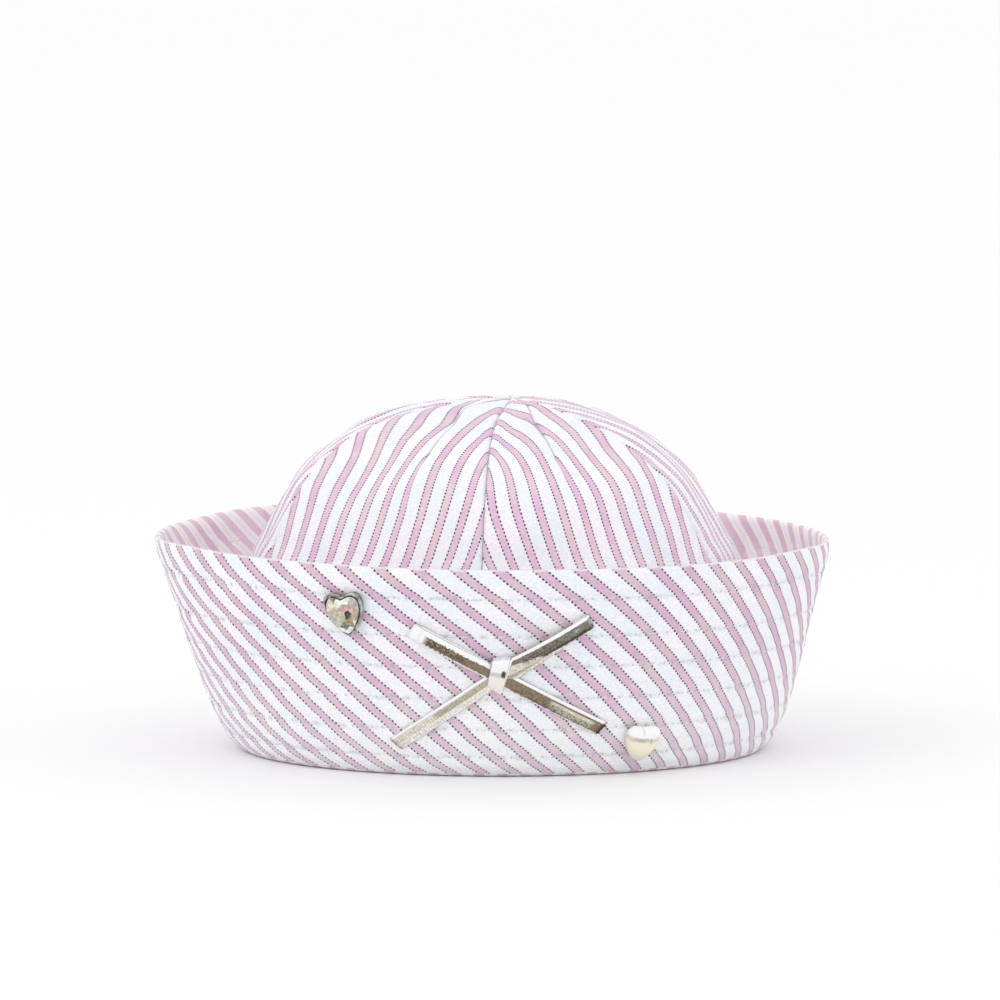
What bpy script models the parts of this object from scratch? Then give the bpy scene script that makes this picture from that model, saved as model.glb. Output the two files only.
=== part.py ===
"""Sailor cap: a domed crown of six gores inside a tall turned-up cuff, with a strip bow and two heart studs.

Metres, +Z up. The cap rests on its foot at z = 0 and faces -Y. Angles go round the cap
from the front, positive towards +X.
"""

import math
from collections import namedtuple

import bmesh
import bpy
from mathutils import Matrix, Vector

MM = 0.001

# Cuff: the turned-up brim
CUFF_HEIGHT = 75.4 * MM
CUFF_WALL = 2.4 * MM
CUFF_SEGMENTS = 64
CUFF_FOOT_SHIFT = 3.5 * MM
FOOT_INNER_RADIUS = 88.3 * MM
FOOT_OUTER_RADIUS = 92.0 * MM
ROLL_STEP_OUT = 2.5 * MM
ROLL_STEP_UP = 1.5 * MM
LIP_HEIGHT = 5.0 * MM
LIP_EDGE_HEIGHT = 0.8 * MM
LIP_INNER_RADIUS = 87.5 * MM
LIP_OUTER_RADIUS = 89.5 * MM
TROUGH_FLOOR = 2.6 * MM
TROUGH_INNER_RADIUS = 90.1 * MM
TROUGH_OUTER_RADIUS = 91.7 * MM
STITCH_GROOVE = 0.35 * MM
RIM_ROUNDING = 1.2 * MM

CuffRow = namedtuple("CuffRow", "height radius")
CUFF_OUTER_WALL = (
    CuffRow(0.0 * MM, 92.6 * MM),
    CuffRow(3.9 * MM, 96.2 * MM),
    CuffRow(7.5 * MM, 98.2 * MM),
    CuffRow(14.6 * MM, 101.9 * MM),
    CuffRow(28.9 * MM, 106.7 * MM),
    CuffRow(43.2 * MM, 111.1 * MM),
    CuffRow(57.5 * MM, 115.6 * MM),
    CuffRow(68.0 * MM, 118.7 * MM),
    CuffRow(75.4 * MM, 119.8 * MM),
)
STITCH_ROW_HEIGHTS = (7.5 * MM, 17.6 * MM, 28.8 * MM, 40.3 * MM, 51.4 * MM, 64.9 * MM)

# How far the rim stands above or below a level circle, by angle round the cap
RimRise = namedtuple("RimRise", "angle rise")
RIM_WAVE = (
    RimRise(-180, -0.2 * MM),
    RimRise(-133, 0.9 * MM),
    RimRise(-112, 0.0 * MM),
    RimRise(-88, 0.2 * MM),
    RimRise(-62, 1.9 * MM),
    RimRise(-40, 1.6 * MM),
    RimRise(0, 0.8 * MM),
    RimRise(45, 0.1 * MM),
    RimRise(64, 0.3 * MM),
    RimRise(88, -1.2 * MM),
    RimRise(128, -1.5 * MM),
)

# Crown: rings from the foot seam to the top, each with its centre's shift along X
CROWN_WALL = 1.4 * MM
SEAM_GAP = 0.45 * MM
GORE_COLUMNS = 8
GORE_ROWS = 18
DART_DEPTH = 2.0 * MM
DART_START = 0.55
DART_END = 0.94
CROWN_SQUARENESS = 0.4
SQUARE_ABOVE = 55.0 * MM

CrownRing = namedtuple("CrownRing", "height radius shift")
CROWN_RINGS = (
    CrownRing(5.4 * MM, 89.4 * MM, 3.3 * MM),
    CrownRing(35.0 * MM, 89.0 * MM, 2.0 * MM),
    CrownRing(64.6 * MM, 86.2 * MM, 0.8 * MM),
    CrownRing(77.0 * MM, 80.9 * MM, 0.7 * MM),
    CrownRing(89.6 * MM, 74.6 * MM, 0.7 * MM),
    CrownRing(98.6 * MM, 68.6 * MM, 0.7 * MM),
    CrownRing(107.5 * MM, 58.8 * MM, 0.7 * MM),
    CrownRing(114.6 * MM, 47.4 * MM, 0.9 * MM),
    CrownRing(120.4 * MM, 31.0 * MM, 2.2 * MM),
    CrownRing(123.6 * MM, 14.0 * MM, 5.0 * MM),
    CrownRing(124.5 * MM, 1.2 * MM, 7.0 * MM),
)

Gore = namedtuple("Gore", "name foot_from foot_to top_from top_to dart")
GORES = (
    Gore("crown_gore_front_right", -3, 61, 1, 42, 22),
    Gore("crown_gore_side_right", 61, 120, 42, 118, 90),
    Gore("crown_gore_back_right", 120, 178, 118, 178, 149),
    Gore("crown_gore_back_left", 178, 235, 178, 236, 207),
    Gore("crown_gore_side_left", 235, 292, 236, 276, 262),
    Gore("crown_gore_front_left", 292, 357, 276, 361, 336),
)

# Bow: a flat strip in two loops and two tails, held by a knot, laid on the cuff's front
STRIP_WIDTH = 5.2 * MM
STRIP_WALL = 0.8 * MM
SEAT_GAP = 0.3 * MM
KNOT_X = 1.8 * MM
KNOT_HEIGHT = 37.4 * MM
KNOT_WIDTH = 6.1 * MM
KNOT_LENGTH = 12.4 * MM
KNOT_DEPTH = 4.6 * MM
KNOT_ROUNDING = 1.6 * MM
KNOT_TILT = -9
ARM_ROOT_X = 4.2 * MM
ARM_ROOT_WIDTH = 3.6 * MM
ARM_STATIONS = 7
LOOP_TURN_STEPS = 4
LOOP_ROOT_OPENING = 1.3 * MM
LOOP_BELLY_OPENING = 2.4 * MM

BowArm = namedtuple("BowArm", "name root_height end_x end_height is_loop")
BOW_ARMS = (
    BowArm("bow_loop_left", 39.5 * MM, -28.2 * MM, 53.4 * MM, True),
    BowArm("bow_loop_right", 41.2 * MM, 34.0 * MM, 56.6 * MM, True),
    BowArm("bow_tail_left", 34.0 * MM, -34.0 * MM, 11.1 * MM, False),
    BowArm("bow_tail_right", 35.3 * MM, 39.0 * MM, 16.8 * MM, False),
)

# Heart studs on the cuff
HEART_POINTS = 24
HEART_LOBE_RISE = 0.72
CRYSTAL_X = -50.6 * MM
CRYSTAL_HEIGHT = 58.9 * MM
CRYSTAL_WIDTH = 14.8 * MM
CRYSTAL_LENGTH = 15.8 * MM
CRYSTAL_TILT = 6
CRYSTAL_DEPTH = 4.6 * MM
CRYSTAL_TABLE = 0.50
CUP_WALL = 0.6 * MM
CUP_BASE = 1.0 * MM
CUP_DEPTH = 2.6 * MM
STONE_GAP = 0.35 * MM
GIRDLE_EDGE = 0.3 * MM
STUD_GAP = 0.5 * MM
PEARL_X = 51.4 * MM
PEARL_HEIGHT = 11.6 * MM
PEARL_WIDTH = 13.2 * MM
PEARL_LENGTH = 13.8 * MM
PEARL_TILT = -4
PEARL_DEPTH = 5.4 * MM

Puff = namedtuple("Puff", "scale depth")
PEARL_PUFFS = (
    Puff(0.82, 0.00),
    Puff(0.97, 0.16),
    Puff(1.00, 0.36),
    Puff(0.92, 0.66),
    Puff(0.72, 0.88),
    Puff(0.42, 0.98),
)


def clear_scene():
    """Remove whatever the file opened with."""
    for thing in list(bpy.data.objects):
        bpy.data.objects.remove(thing, do_unlink=True)


def material(name, colour, roughness, metallic=0.0):
    """A plain Principled material in the piece's own colour."""
    made = bpy.data.materials.new(name)
    made.use_nodes = True
    shader = made.node_tree.nodes["Principled BSDF"]
    shader.inputs["Base Color"].default_value = (*colour, 1.0)
    shader.inputs["Roughness"].default_value = roughness
    shader.inputs["Metallic"].default_value = metallic
    return made


def add_object(name, bm, finish, sharp_angle=40):
    """Turn a closed bmesh into a named object, smooth except at edges sharper than sharp_angle."""
    bmesh.ops.remove_doubles(bm, verts=bm.verts, dist=0.01 * MM)
    bmesh.ops.recalc_face_normals(bm, faces=bm.faces)
    mesh = bpy.data.meshes.new(name)
    bm.to_mesh(mesh)
    bm.free()
    mesh.shade_smooth()
    mesh.set_sharp_from_angle(angle=math.radians(sharp_angle))
    mesh.materials.append(finish)
    made = bpy.data.objects.new(name, mesh)
    bpy.context.scene.collection.objects.link(made)
    return made


def smooth_table(rows, place):
    """A point on the smooth curve through a table's rows; place runs from 0 to the last row's index."""
    last = len(rows) - 1
    index = min(int(place), last - 1)
    part = place - index
    before, start, end, after = (
        rows[max(index - 1, 0)],
        rows[index],
        rows[index + 1],
        rows[min(index + 2, last)],
    )
    return tuple(
        b + 0.5 * part * (c - a + part * (2 * a - 5 * b + 4 * c - d + part * (3 * (b - c) + d - a)))
        for a, b, c, d in zip(before, start, end, after)
    )


def wall_radius(height):
    """The cuff's outer radius at a height, on straight runs between the table's rows."""
    for low, high in zip(CUFF_OUTER_WALL, CUFF_OUTER_WALL[1:]):
        if height <= high.height:
            part = (height - low.height) / (high.height - low.height)
            return low.radius + part * (high.radius - low.radius)
    return CUFF_OUTER_WALL[-1].radius


def rim_rise(angle):
    """How far the rim is lifted at an angle in degrees, eased between the rows of the wave's table."""
    turns = (angle + 180) % 360 - 180
    closed = RIM_WAVE + (RimRise(RIM_WAVE[0].angle + 360, RIM_WAVE[0].rise),)
    for low, high in zip(closed, closed[1:]):
        if turns <= high.angle:
            part = (turns - low.angle) / (high.angle - low.angle)
            eased = part * part * (3 - 2 * part)
            return low.rise + eased * (high.rise - low.rise)
    return closed[-1].rise


def lean(height):
    """The cuff's centre moves along X from its foot to its rim."""
    return CUFF_FOOT_SHIFT * (1 - min(max(height / CUFF_HEIGHT, 0.0), 1.0))


def lift(angle, height):
    """The rim's wave fades out towards the foot."""
    return rim_rise(angle) * min(max(height / CUFF_HEIGHT, 0.0), 1.2) ** 2


def wall_point(x, height):
    """The point of the cuff's front wall at x and height."""
    radius = wall_radius(height)
    angle = math.asin((x - lean(height)) / radius)
    rise = lift(math.degrees(angle), height)
    return Vector((x, -radius * math.cos(angle), height + rise))


def wall_frame(x, height):
    """The wall's right, up and outward directions at a point, and the point itself, as a matrix."""
    step = 1.0 * MM
    point = wall_point(x, height)
    right = (wall_point(x + step, height) - wall_point(x - step, height)).normalized()
    up = (wall_point(x, height + step) - wall_point(x, height - step)).normalized()
    out = right.cross(up).normalized()
    up = out.cross(right)
    return Matrix.Translation(point) @ Matrix((right, up, out)).transposed().to_4x4()


def cuff_section():
    """The cuff's closed section as (radius, height) pairs: foot, outer wall, rim, inner wall and lip."""
    roll_top = CUFF_OUTER_WALL[1]
    section = [
        (FOOT_INNER_RADIUS, 0.0),
        (FOOT_OUTER_RADIUS, 0.0),
        (FOOT_OUTER_RADIUS + ROLL_STEP_OUT, ROLL_STEP_UP),
        (roll_top.radius, roll_top.height),
    ]
    rim_shoulder = CUFF_HEIGHT - RIM_ROUNDING
    stops = STITCH_ROW_HEIGHTS + (rim_shoulder,)
    for row, above in zip(stops, stops[1:]):
        middle = 0.5 * (row + above)
        section.append((wall_radius(row) - STITCH_GROOVE, row))
        section.append((wall_radius(middle), middle))
    rim_radius = wall_radius(CUFF_HEIGHT)
    section.append((rim_radius, rim_shoulder))
    section.append((rim_radius - 0.5 * CUFF_WALL, CUFF_HEIGHT))
    section.append((rim_radius - CUFF_WALL, rim_shoulder))
    section += [(wall_radius(row) - CUFF_WALL, row) for row in reversed(STITCH_ROW_HEIGHTS)]
    section += [
        (TROUGH_OUTER_RADIUS, TROUGH_FLOOR),
        (TROUGH_INNER_RADIUS, TROUGH_FLOOR),
        (LIP_OUTER_RADIUS, LIP_HEIGHT),
        (LIP_INNER_RADIUS, LIP_HEIGHT),
        (LIP_INNER_RADIUS, LIP_EDGE_HEIGHT),
    ]
    return section


def build_cuff(finish):
    """The section is spun round Z, then leant and waved so that the rim follows its table."""
    bm = bmesh.new()
    ring = [bm.verts.new((radius, 0.0, height)) for radius, height in cuff_section()]
    edges = [bm.edges.new((a, b)) for a, b in zip(ring, ring[1:] + ring[:1])]
    bmesh.ops.spin(
        bm,
        geom=ring + edges,
        cent=(0, 0, 0),
        axis=(0, 0, 1),
        dvec=(0, 0, 0),
        angle=math.tau,
        steps=CUFF_SEGMENTS,
        use_merge=True,
        use_duplicate=False,
    )
    for vert in bm.verts:
        angle = math.degrees(math.atan2(vert.co.x, -vert.co.y))
        height = vert.co.z
        vert.co.x += lean(height)
        vert.co.z += lift(angle, height)
    return add_object("cuff", bm, finish)


def crown_ring(place):
    """The crown's height, radius and shift; place runs from 0 at the foot seam to 1 at the top."""
    return CrownRing(*smooth_table(CROWN_RINGS, place * (len(CROWN_RINGS) - 1)))


def crown_reach(angle, height):
    """The crown's reach at an angle, as a share of its radius: round at the foot and squarish above."""
    power = 2 + CROWN_SQUARENESS * min(height / SQUARE_ABOVE, 1.0)
    return (abs(math.sin(angle)) ** power + abs(math.cos(angle)) ** power) ** (-1 / power)


def dart_depth(column, place):
    """The dart is a crease down the gore's dart line, deepest at half its length."""
    across = max(0.0, 1 - abs(column - 0.5) * GORE_COLUMNS * 0.5)
    along = (place - DART_START) / (DART_END - DART_START)
    if not 0 < along < 1:
        return 0.0
    return DART_DEPTH * across * math.sin(math.pi * along) ** 2


def build_gore(gore, finish):
    """A grid is laid on the crown between two seams, and given its cloth's thickness inwards."""
    bm = bmesh.new()
    bmesh.ops.create_grid(bm, x_segments=GORE_COLUMNS, y_segments=GORE_ROWS, size=0.5)
    for vert in bm.verts:
        column = vert.co.x + 0.5
        place = vert.co.y + 0.5
        ring = crown_ring(place)
        inset = math.degrees(math.asin(0.5 * SEAM_GAP / ring.radius))
        start = gore.foot_from + place**3 * (gore.top_from - gore.foot_from) + inset
        end = gore.foot_to + place**3 * (gore.top_to - gore.foot_to) - inset
        if column <= 0.5:
            degrees = start + 2 * column * (gore.dart - start)
        else:
            degrees = gore.dart + (2 * column - 1) * (end - gore.dart)
        angle = math.radians(degrees)
        depth = dart_depth(column, place)
        radius = ring.radius * crown_reach(angle, ring.height) - depth * (1 - place)
        vert.co = (
            ring.shift + radius * math.sin(angle),
            -radius * math.cos(angle),
            ring.height - depth * place,
        )
    bmesh.ops.recalc_face_normals(bm, faces=bm.faces)
    if sum(face.normal.z for face in bm.faces) < 0:
        bmesh.ops.reverse_faces(bm, faces=bm.faces)
    made = add_object(gore.name, bm, finish)
    wall = made.modifiers.new("wall", "SOLIDIFY")
    wall.thickness = CROWN_WALL
    wall.offset = -1.0
    return made


def loft(bm, sections):
    """A closed body through sections with the same number of corners, its first and last ones capped."""
    rings = [[bm.verts.new(corner) for corner in section] for section in sections]
    for lower, upper in zip(rings, rings[1:]):
        for a, b, c, d in zip(lower, lower[1:] + lower[:1], upper[1:] + upper[:1], upper):
            bm.faces.new((a, b, c, d))
    bmesh.ops.triangulate(bm, faces=[bm.faces.new(reversed(rings[0])), bm.faces.new(rings[-1])])


def arm_stops(is_loop, length):
    """Stops of a bow arm as (part of its length, lift over the wall, turn of the strip in radians)."""
    low = SEAT_GAP + 0.5 * STRIP_WALL
    parts = [index / (ARM_STATIONS - 1) for index in range(ARM_STATIONS)]
    stops = [(part, low, 0.0) for part in parts]
    if not is_loop:
        return stops
    turn_radius = 0.5 * LOOP_ROOT_OPENING
    for index in range(1, LOOP_TURN_STEPS):
        turn = math.pi * index / LOOP_TURN_STEPS
        reach = 1 + turn_radius * math.sin(turn) / length
        stops.append((reach, low + turn_radius * (1 - math.cos(turn)), turn))
    for part in reversed(parts):
        opening = LOOP_ROOT_OPENING + (LOOP_BELLY_OPENING - LOOP_ROOT_OPENING) * math.sin(math.pi * part)
        stops.append((part, low + opening, math.pi))
    return stops


def build_arm(arm, finish):
    """A loop or tail of the bow, lofted over the curved wall; its root is cut along the knot's side."""
    root_x = KNOT_X + math.copysign(ARM_ROOT_X, arm.end_x - KNOT_X)
    run_x = arm.end_x - root_x
    run_height = arm.end_height - arm.root_height
    length = (wall_point(arm.end_x, arm.end_height) - wall_point(root_x, arm.root_height)).length
    step = 0.01
    sections = []
    for part, over, turn in arm_stops(arm.is_loop, length):
        x = root_x + part * run_x
        height = arm.root_height + part * run_height
        out = wall_frame(x, height).to_3x3().col[2]
        centre = wall_point(x, height)
        along = (wall_point(x + step * run_x, height + step * run_height) - centre).normalized()
        side = out.cross(along).normalized()
        at_root = part == 0
        half_width = 0.5 * (ARM_ROOT_WIDTH if at_root else STRIP_WIDTH)
        slant = -side.x / along.x if at_root else 0.0
        across = (side + along * slant) * half_width
        thick = (out * math.cos(turn) - along * math.sin(turn)) * 0.5 * STRIP_WALL
        middle = centre + out * over
        low_side = (middle - across - thick, middle + across - thick)
        high_side = (middle + across + thick, middle - across + thick)
        sections.append(low_side + high_side)
    bm = bmesh.new()
    loft(bm, sections)
    return add_object(arm.name, bm, finish)


def build_knot(finish):
    """The strip's turn round the middle of the bow: a rounded block standing on the wall."""
    bm = bmesh.new()
    bmesh.ops.create_cube(bm, size=1.0)
    bmesh.ops.scale(bm, vec=(KNOT_WIDTH, KNOT_LENGTH, KNOT_DEPTH), verts=bm.verts)
    top = [edge for edge in bm.edges if all(vert.co.z > 0 for vert in edge.verts)]
    bmesh.ops.bevel(bm, geom=top, offset=KNOT_ROUNDING, segments=3, profile=0.5, affect="EDGES")
    bmesh.ops.translate(bm, vec=(0, 0, 0.5 * KNOT_DEPTH + SEAT_GAP + 0.1 * MM), verts=bm.verts)
    place = wall_frame(KNOT_X, KNOT_HEIGHT) @ Matrix.Rotation(math.radians(KNOT_TILT), 4, "Z")
    bmesh.ops.transform(bm, matrix=place, verts=bm.verts)
    return add_object("bow_knot", bm, finish)


def heart_outline(width, length):
    """Points round a heart, tip down and centred: a circle whose sides are raised by their distance out."""
    points = []
    for index in range(HEART_POINTS):
        turn = math.tau * index / HEART_POINTS
        x = math.sin(turn)
        points.append(Vector((x, math.cos(turn) + HEART_LOBE_RISE * abs(x))))
    lowest = min(point.y for point in points)
    highest = max(point.y for point in points)
    middle = 0.5 * (lowest + highest)
    stretch = length / (highest - lowest)
    return [Vector((0.5 * width * point.x, stretch * (point.y - middle))) for point in points]


def stack(bm, outline, levels):
    """A closed heart through levels of (scale, depth); the first level is its flat back."""
    loft(bm, [[(point.x * scale, point.y * scale, depth) for point in outline] for scale, depth in levels])


def place_stud(bm, x, height, tilt, out):
    """Seat a stud on the cuff's wall, out from it along the wall's normal."""
    place = wall_frame(x, height) @ Matrix.Rotation(math.radians(tilt), 4, "Z")
    bmesh.ops.transform(bm, matrix=place @ Matrix.Translation((0, 0, out)), verts=bm.verts)


def build_crystal_setting(finish):
    """A heart-shaped metal cup: a base with a wall round it."""
    bm = bmesh.new()
    inner = 1 - 2 * CUP_WALL / CRYSTAL_WIDTH
    outline = heart_outline(CRYSTAL_WIDTH, CRYSTAL_LENGTH)
    levels = ((0.92, 0.0), (1.0, 0.5 * MM), (1.0, CUP_DEPTH), (inner, CUP_DEPTH), (inner, CUP_BASE))
    stack(bm, outline, levels)
    place_stud(bm, CRYSTAL_X, CRYSTAL_HEIGHT, CRYSTAL_TILT, STUD_GAP)
    return add_object("crystal_setting", bm, finish, sharp_angle=30)


def build_crystal_heart(finish):
    """A cut stone: girdle in the cup, a ring of crown facets and a table."""
    bm = bmesh.new()
    girdle = 1 - 2 * (CUP_WALL + STONE_GAP) / CRYSTAL_WIDTH
    outline = heart_outline(CRYSTAL_WIDTH, CRYSTAL_LENGTH)
    levels = (
        (girdle * 0.9, CUP_BASE + SEAT_GAP),
        (girdle, CUP_DEPTH),
        (girdle, CUP_DEPTH + GIRDLE_EDGE),
        (CRYSTAL_TABLE, CRYSTAL_DEPTH),
    )
    stack(bm, outline, levels)
    place_stud(bm, CRYSTAL_X, CRYSTAL_HEIGHT, CRYSTAL_TILT, STUD_GAP)
    return add_object("crystal_heart", bm, finish, sharp_angle=5)


def build_pearl_heart(finish):
    """A puffed heart with a flat back."""
    bm = bmesh.new()
    outline = heart_outline(PEARL_WIDTH, PEARL_LENGTH)
    stack(bm, outline, [(puff.scale, puff.depth * PEARL_DEPTH) for puff in PEARL_PUFFS])
    place_stud(bm, PEARL_X, PEARL_HEIGHT, PEARL_TILT, STUD_GAP)
    return add_object("pearl_heart", bm, finish)


def main():
    clear_scene()
    crown_cloth = material("striped_cotton_crown", (0.80, 0.68, 0.74), 0.9)
    cuff_cloth = material("striped_cotton_cuff", (0.82, 0.70, 0.76), 0.9)
    foil = material("silver_foil_strip", (0.78, 0.77, 0.75), 0.25, 1.0)
    cup_metal = material("setting_metal", (0.62, 0.61, 0.60), 0.3, 1.0)
    stone = material("cut_crystal", (0.72, 0.68, 0.66), 0.08, 0.4)
    pearl = material("pearl_coat", (0.86, 0.82, 0.74), 0.25)
    build_cuff(cuff_cloth)
    for gore in GORES:
        build_gore(gore, crown_cloth)
    for arm in BOW_ARMS:
        build_arm(arm, foil)
    build_knot(foil)
    build_crystal_setting(cup_metal)
    build_crystal_heart(stone)
    build_pearl_heart(pearl)


main()
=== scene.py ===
"""The looks of the sailor cap: sewn striped cloth, thread, a strip bow, two heart studs and a plain studio.

Metres, +Z up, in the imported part's frame. The cap faces -Y. Angles go round it from the front,
positive towards +X, and are in radians unless a name or a table says degrees.
"""

import math
from collections import namedtuple

import bmesh
import bpy
import numpy as np
from bpy.props import FloatProperty, FloatVectorProperty, IntProperty, PointerProperty
from mathutils import Matrix, Vector


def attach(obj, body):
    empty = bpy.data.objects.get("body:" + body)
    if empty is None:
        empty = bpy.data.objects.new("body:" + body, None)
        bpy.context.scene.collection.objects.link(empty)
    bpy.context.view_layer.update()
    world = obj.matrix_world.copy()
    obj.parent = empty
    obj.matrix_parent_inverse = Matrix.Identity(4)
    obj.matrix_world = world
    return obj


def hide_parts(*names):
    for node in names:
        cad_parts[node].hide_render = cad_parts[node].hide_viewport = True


bl_info = {
    "name": "Sailor Cap",
    "version": (1, 0, 0),
    "blender": (4, 5, 0),
    "location": "View3D > Sidebar > Sailor Cap",
    "description": "Dresses the packed sailor cap in sewn cloth, thread, foil strip and studs",
    "category": "Object",
}

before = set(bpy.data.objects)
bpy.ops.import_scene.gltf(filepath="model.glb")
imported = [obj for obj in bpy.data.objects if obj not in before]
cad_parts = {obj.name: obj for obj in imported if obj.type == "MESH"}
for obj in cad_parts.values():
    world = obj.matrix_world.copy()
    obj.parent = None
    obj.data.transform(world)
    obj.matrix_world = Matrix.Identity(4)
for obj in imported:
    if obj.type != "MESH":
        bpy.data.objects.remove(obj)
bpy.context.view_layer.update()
ROOT = "root"
MM = 0.001


def in_mm(kind, *rows):
    """A table's rows, given in millimetres, as named rows in metres."""
    return tuple(kind(*(value * MM for value in row)) for row in rows)


# Cuff: the outer wall from the foot to the rim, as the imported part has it
CUFF_HEIGHT = 75.4 * MM
CUFF_WALL = 2.4 * MM
CUFF_FOOT_SHIFT = 3.5 * MM
RIM_ROUNDING = 1.2 * MM
WallRow = namedtuple("WallRow", "height radius")
CUFF_OUTER_WALL = in_mm(
    WallRow,
    (0.0, 92.6), (3.9, 96.2), (7.5, 98.2), (14.6, 101.9), (28.9, 106.7),
    (43.2, 111.1), (57.5, 115.6), (68.0, 118.7), (75.4, 119.8),
)
STITCH_ROW_HEIGHTS = tuple(height * MM for height in (7.5, 17.6, 28.8, 40.3, 51.4, 64.9))

# How far the rim stands above or below a level circle, by angle in degrees
RimRise = namedtuple("RimRise", "degrees rise_mm")
RIM_WAVE = tuple(
    RimRise(*row)
    for row in (
        (-180, -0.2), (-133, 0.9), (-112, 0.0), (-88, 0.2), (-62, 1.9), (-40, 1.6),
        (0, 0.8), (45, 0.1), (64, 0.3), (88, -1.2), (128, -1.5), (180, -0.2),
    )
)

# Foot of the cuff: the trough that holds the crown's edge, the lip inside it and the roll it stands on
FootPoint = namedtuple("FootPoint", "radius height")
TROUGH_AND_FOOT = in_mm(
    FootPoint,
    (93.2, 3.6), (91.5, 2.6), (90.2, 2.8), (89.6, 4.9), (88.5, 5.3), (87.5, 4.8),
    (87.4, 2.6), (87.7, 0.9), (88.8, 0.1), (91.0, 0.0), (92.6, 0.4),
)

# Points up the cuff's section: outer wall, half round the rim, inner wall and foot
OUTER_POINTS, RIM_POINTS, INNER_POINTS, FOOT_POINTS = 84, 7, 44, 22
OUTER_WALL_FROM = 1.2 * MM
INNER_WALL_DOWN_TO = 5.5 * MM

# Cuff's relief: where it starts above the foot, how soon it is full and how it ends at the rim,
# how far its puckers reach from a row of stitches, and its long waves
RELIEF_FROM, RELIEF_RISE, RELIEF_END = 2.0 * MM, 3.0 * MM, 2.5 * MM
PUCKER_REACH, PUCKER_LENGTH = 3.0 * MM, 7.0 * MM
CUFF_WAVE, CUFF_WAVE_LENGTH = 0.28 * MM, 50.0 * MM

# Cuff stripes: how many go round, the bias cut's lean and where the first one meets the rim
CUFF_STRIPES = 52
CUFF_MEAN_RADIUS = 106.5 * MM
CUFF_BIAS = 1.018
CUFF_FIRST_STRIPE = 1.38 * MM
# The cloth is eased on at the right, where more of it goes into the rim than into the foot
EASED_STRIPES_AT_RIM = 0.95
EASED_STRIPES_AT_FOOT = 0.45
EASE_FROM_DEGREES, EASE_TO_DEGREES = 22, 72
GIVEN_BACK_FROM_DEGREES, GIVEN_BACK_OVER_DEGREES = 100, 75
# The stripes sag a little at the front, in stripes, deepest a little below half way down
STRIPE_SAG = 0.13
SAG_STRETCH = 1.15
SAG_MIDDLE_DEGREES, SAG_WIDTH_DEGREES = -10, 70
# Between two rows of stitches the stripes bow sideways a little, as the cloth puffs up
STRIPE_ARCH = 0.045
# Painted light: the cuff's cloth is made paler towards its foot, which faces the floor and gets less light
PAINTED_LIGHT_FROM, PAINTED_LIGHT_BELOW = 46 * MM, 6 * MM
# How far the stripes and the ground are lightened there by this painted light
LOW_STRIPE_PAINTED_LIGHT, LOW_GROUND_PAINTED_LIGHT = 0.3, 0.8
# The facing's wrong side: stripes round it, their lean, the first one and the shares of the two kinds
FACING_STRIPES = 72
FACING_BIAS_DEGREES_PER_MM = 0.49
FACING_FIRST_DEGREES = -118.9
FACING_STRIPE_SHARE, FACING_BETWEEN_SHARE = 0.43, 0.2
# A share below nothing hides the stripe between, and a dash this small doesn't show
NO_STRIPE, NO_DASH = -1.0, 0.01 * MM
# Needle holes, the valley that the thread draws down, and the painted highlight on the cloth that turns over
# the rim, above the last row of stitches
NEEDLE_HOLE, NEEDLE_VALLEY = 0.5 * MM, 1.7 * MM
RIM_HIGHLIGHT_FROM, RIM_HIGHLIGHT_TO = 9.7 * MM, 10.2 * MM

# Stitches: a thread's corners and stations, its width at its ends as a share of the whole, how deep
# its ends lie and how far its middle rises, in thread radii, and its ends' distance from the holes, in
# stitches
STITCH_CORNERS, STITCH_STATIONS = 6, 5
STITCH_END_WIDTH, STITCH_END_DEPTH, STITCH_RISE = 0.45, 0.75, 1.3
STITCH_INSET = 0.10

# Crown: rings from the foot seam to the top, each with its centre's shift along X
CROWN_CLOTH = 1.0 * MM
CROWN_SQUARENESS = 0.4
SQUARE_ABOVE = 55.0 * MM
CrownRing = namedtuple("CrownRing", "height radius shift")
CROWN_RINGS = in_mm(
    CrownRing,
    (5.4, 89.2, 3.3), (35.0, 89.0, 2.0), (64.6, 86.2, 0.8), (77.0, 80.9, 0.7), (89.6, 74.6, 0.7),
    (98.6, 68.6, 0.7), (107.5, 58.8, 0.7), (114.6, 47.4, 0.9), (120.4, 31.0, 2.2),
    (123.6, 14.0, 5.0), (124.5, 0.3, 7.0),
)

# Gores: seam angles at the foot and the top and the dart's angle there, in degrees
Gore = namedtuple("Gore", "name foot_from foot_to top_from top_to dart dart_top")
GORES = (
    Gore("front_right", -3, 61, 1, 42, 22, 33),
    Gore("side_right", 61, 120, 42, 118, 90, 90),
    Gore("back_right", 120, 178, 118, 178, 149, 149),
    Gore("back_left", 178, 235, 178, 236, 207, 207),
    Gore("side_left", 235, 292, 236, 276, 262, 262),
    Gore("front_left", 292, 357, 276, 361, 336, 305),
)
# The dart's places up the crown: where it starts, how soon it is open, where it bends and how it ends
DART_START, DART_OPENS_OVER = 0.56, 0.08
DART_BEND = 0.75
DART_CLOSES_OVER = 0.06
DART_TAKE_UP = 7.0 * MM
TAKE_UP_FROM, TAKE_UP_OVER = 0.3, 0.45
# Relief beside a seam or dart: the valley on its line and the ridge of the layers turned in beside it
Sewn = namedtuple("Sewn", "valley valley_width ridge ridge_width ridge_off")
SEAM_RELIEF, DART_RELIEF = in_mm(Sewn, (1.0, 0.7, 0.3, 1.5, 2.4), (0.9, 0.6, 0.3, 1.6, 2.0))
SEAM_PUCKER_OFF = 3.0 * MM
SEAM_PUCKER_LENGTH = 7.0 * MM
SOFT_CREASE_LENGTH, FINE_CREASE_LENGTH = 34.0 * MM, 10.0 * MM
CROWN_LENGTH = 160 * MM
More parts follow.
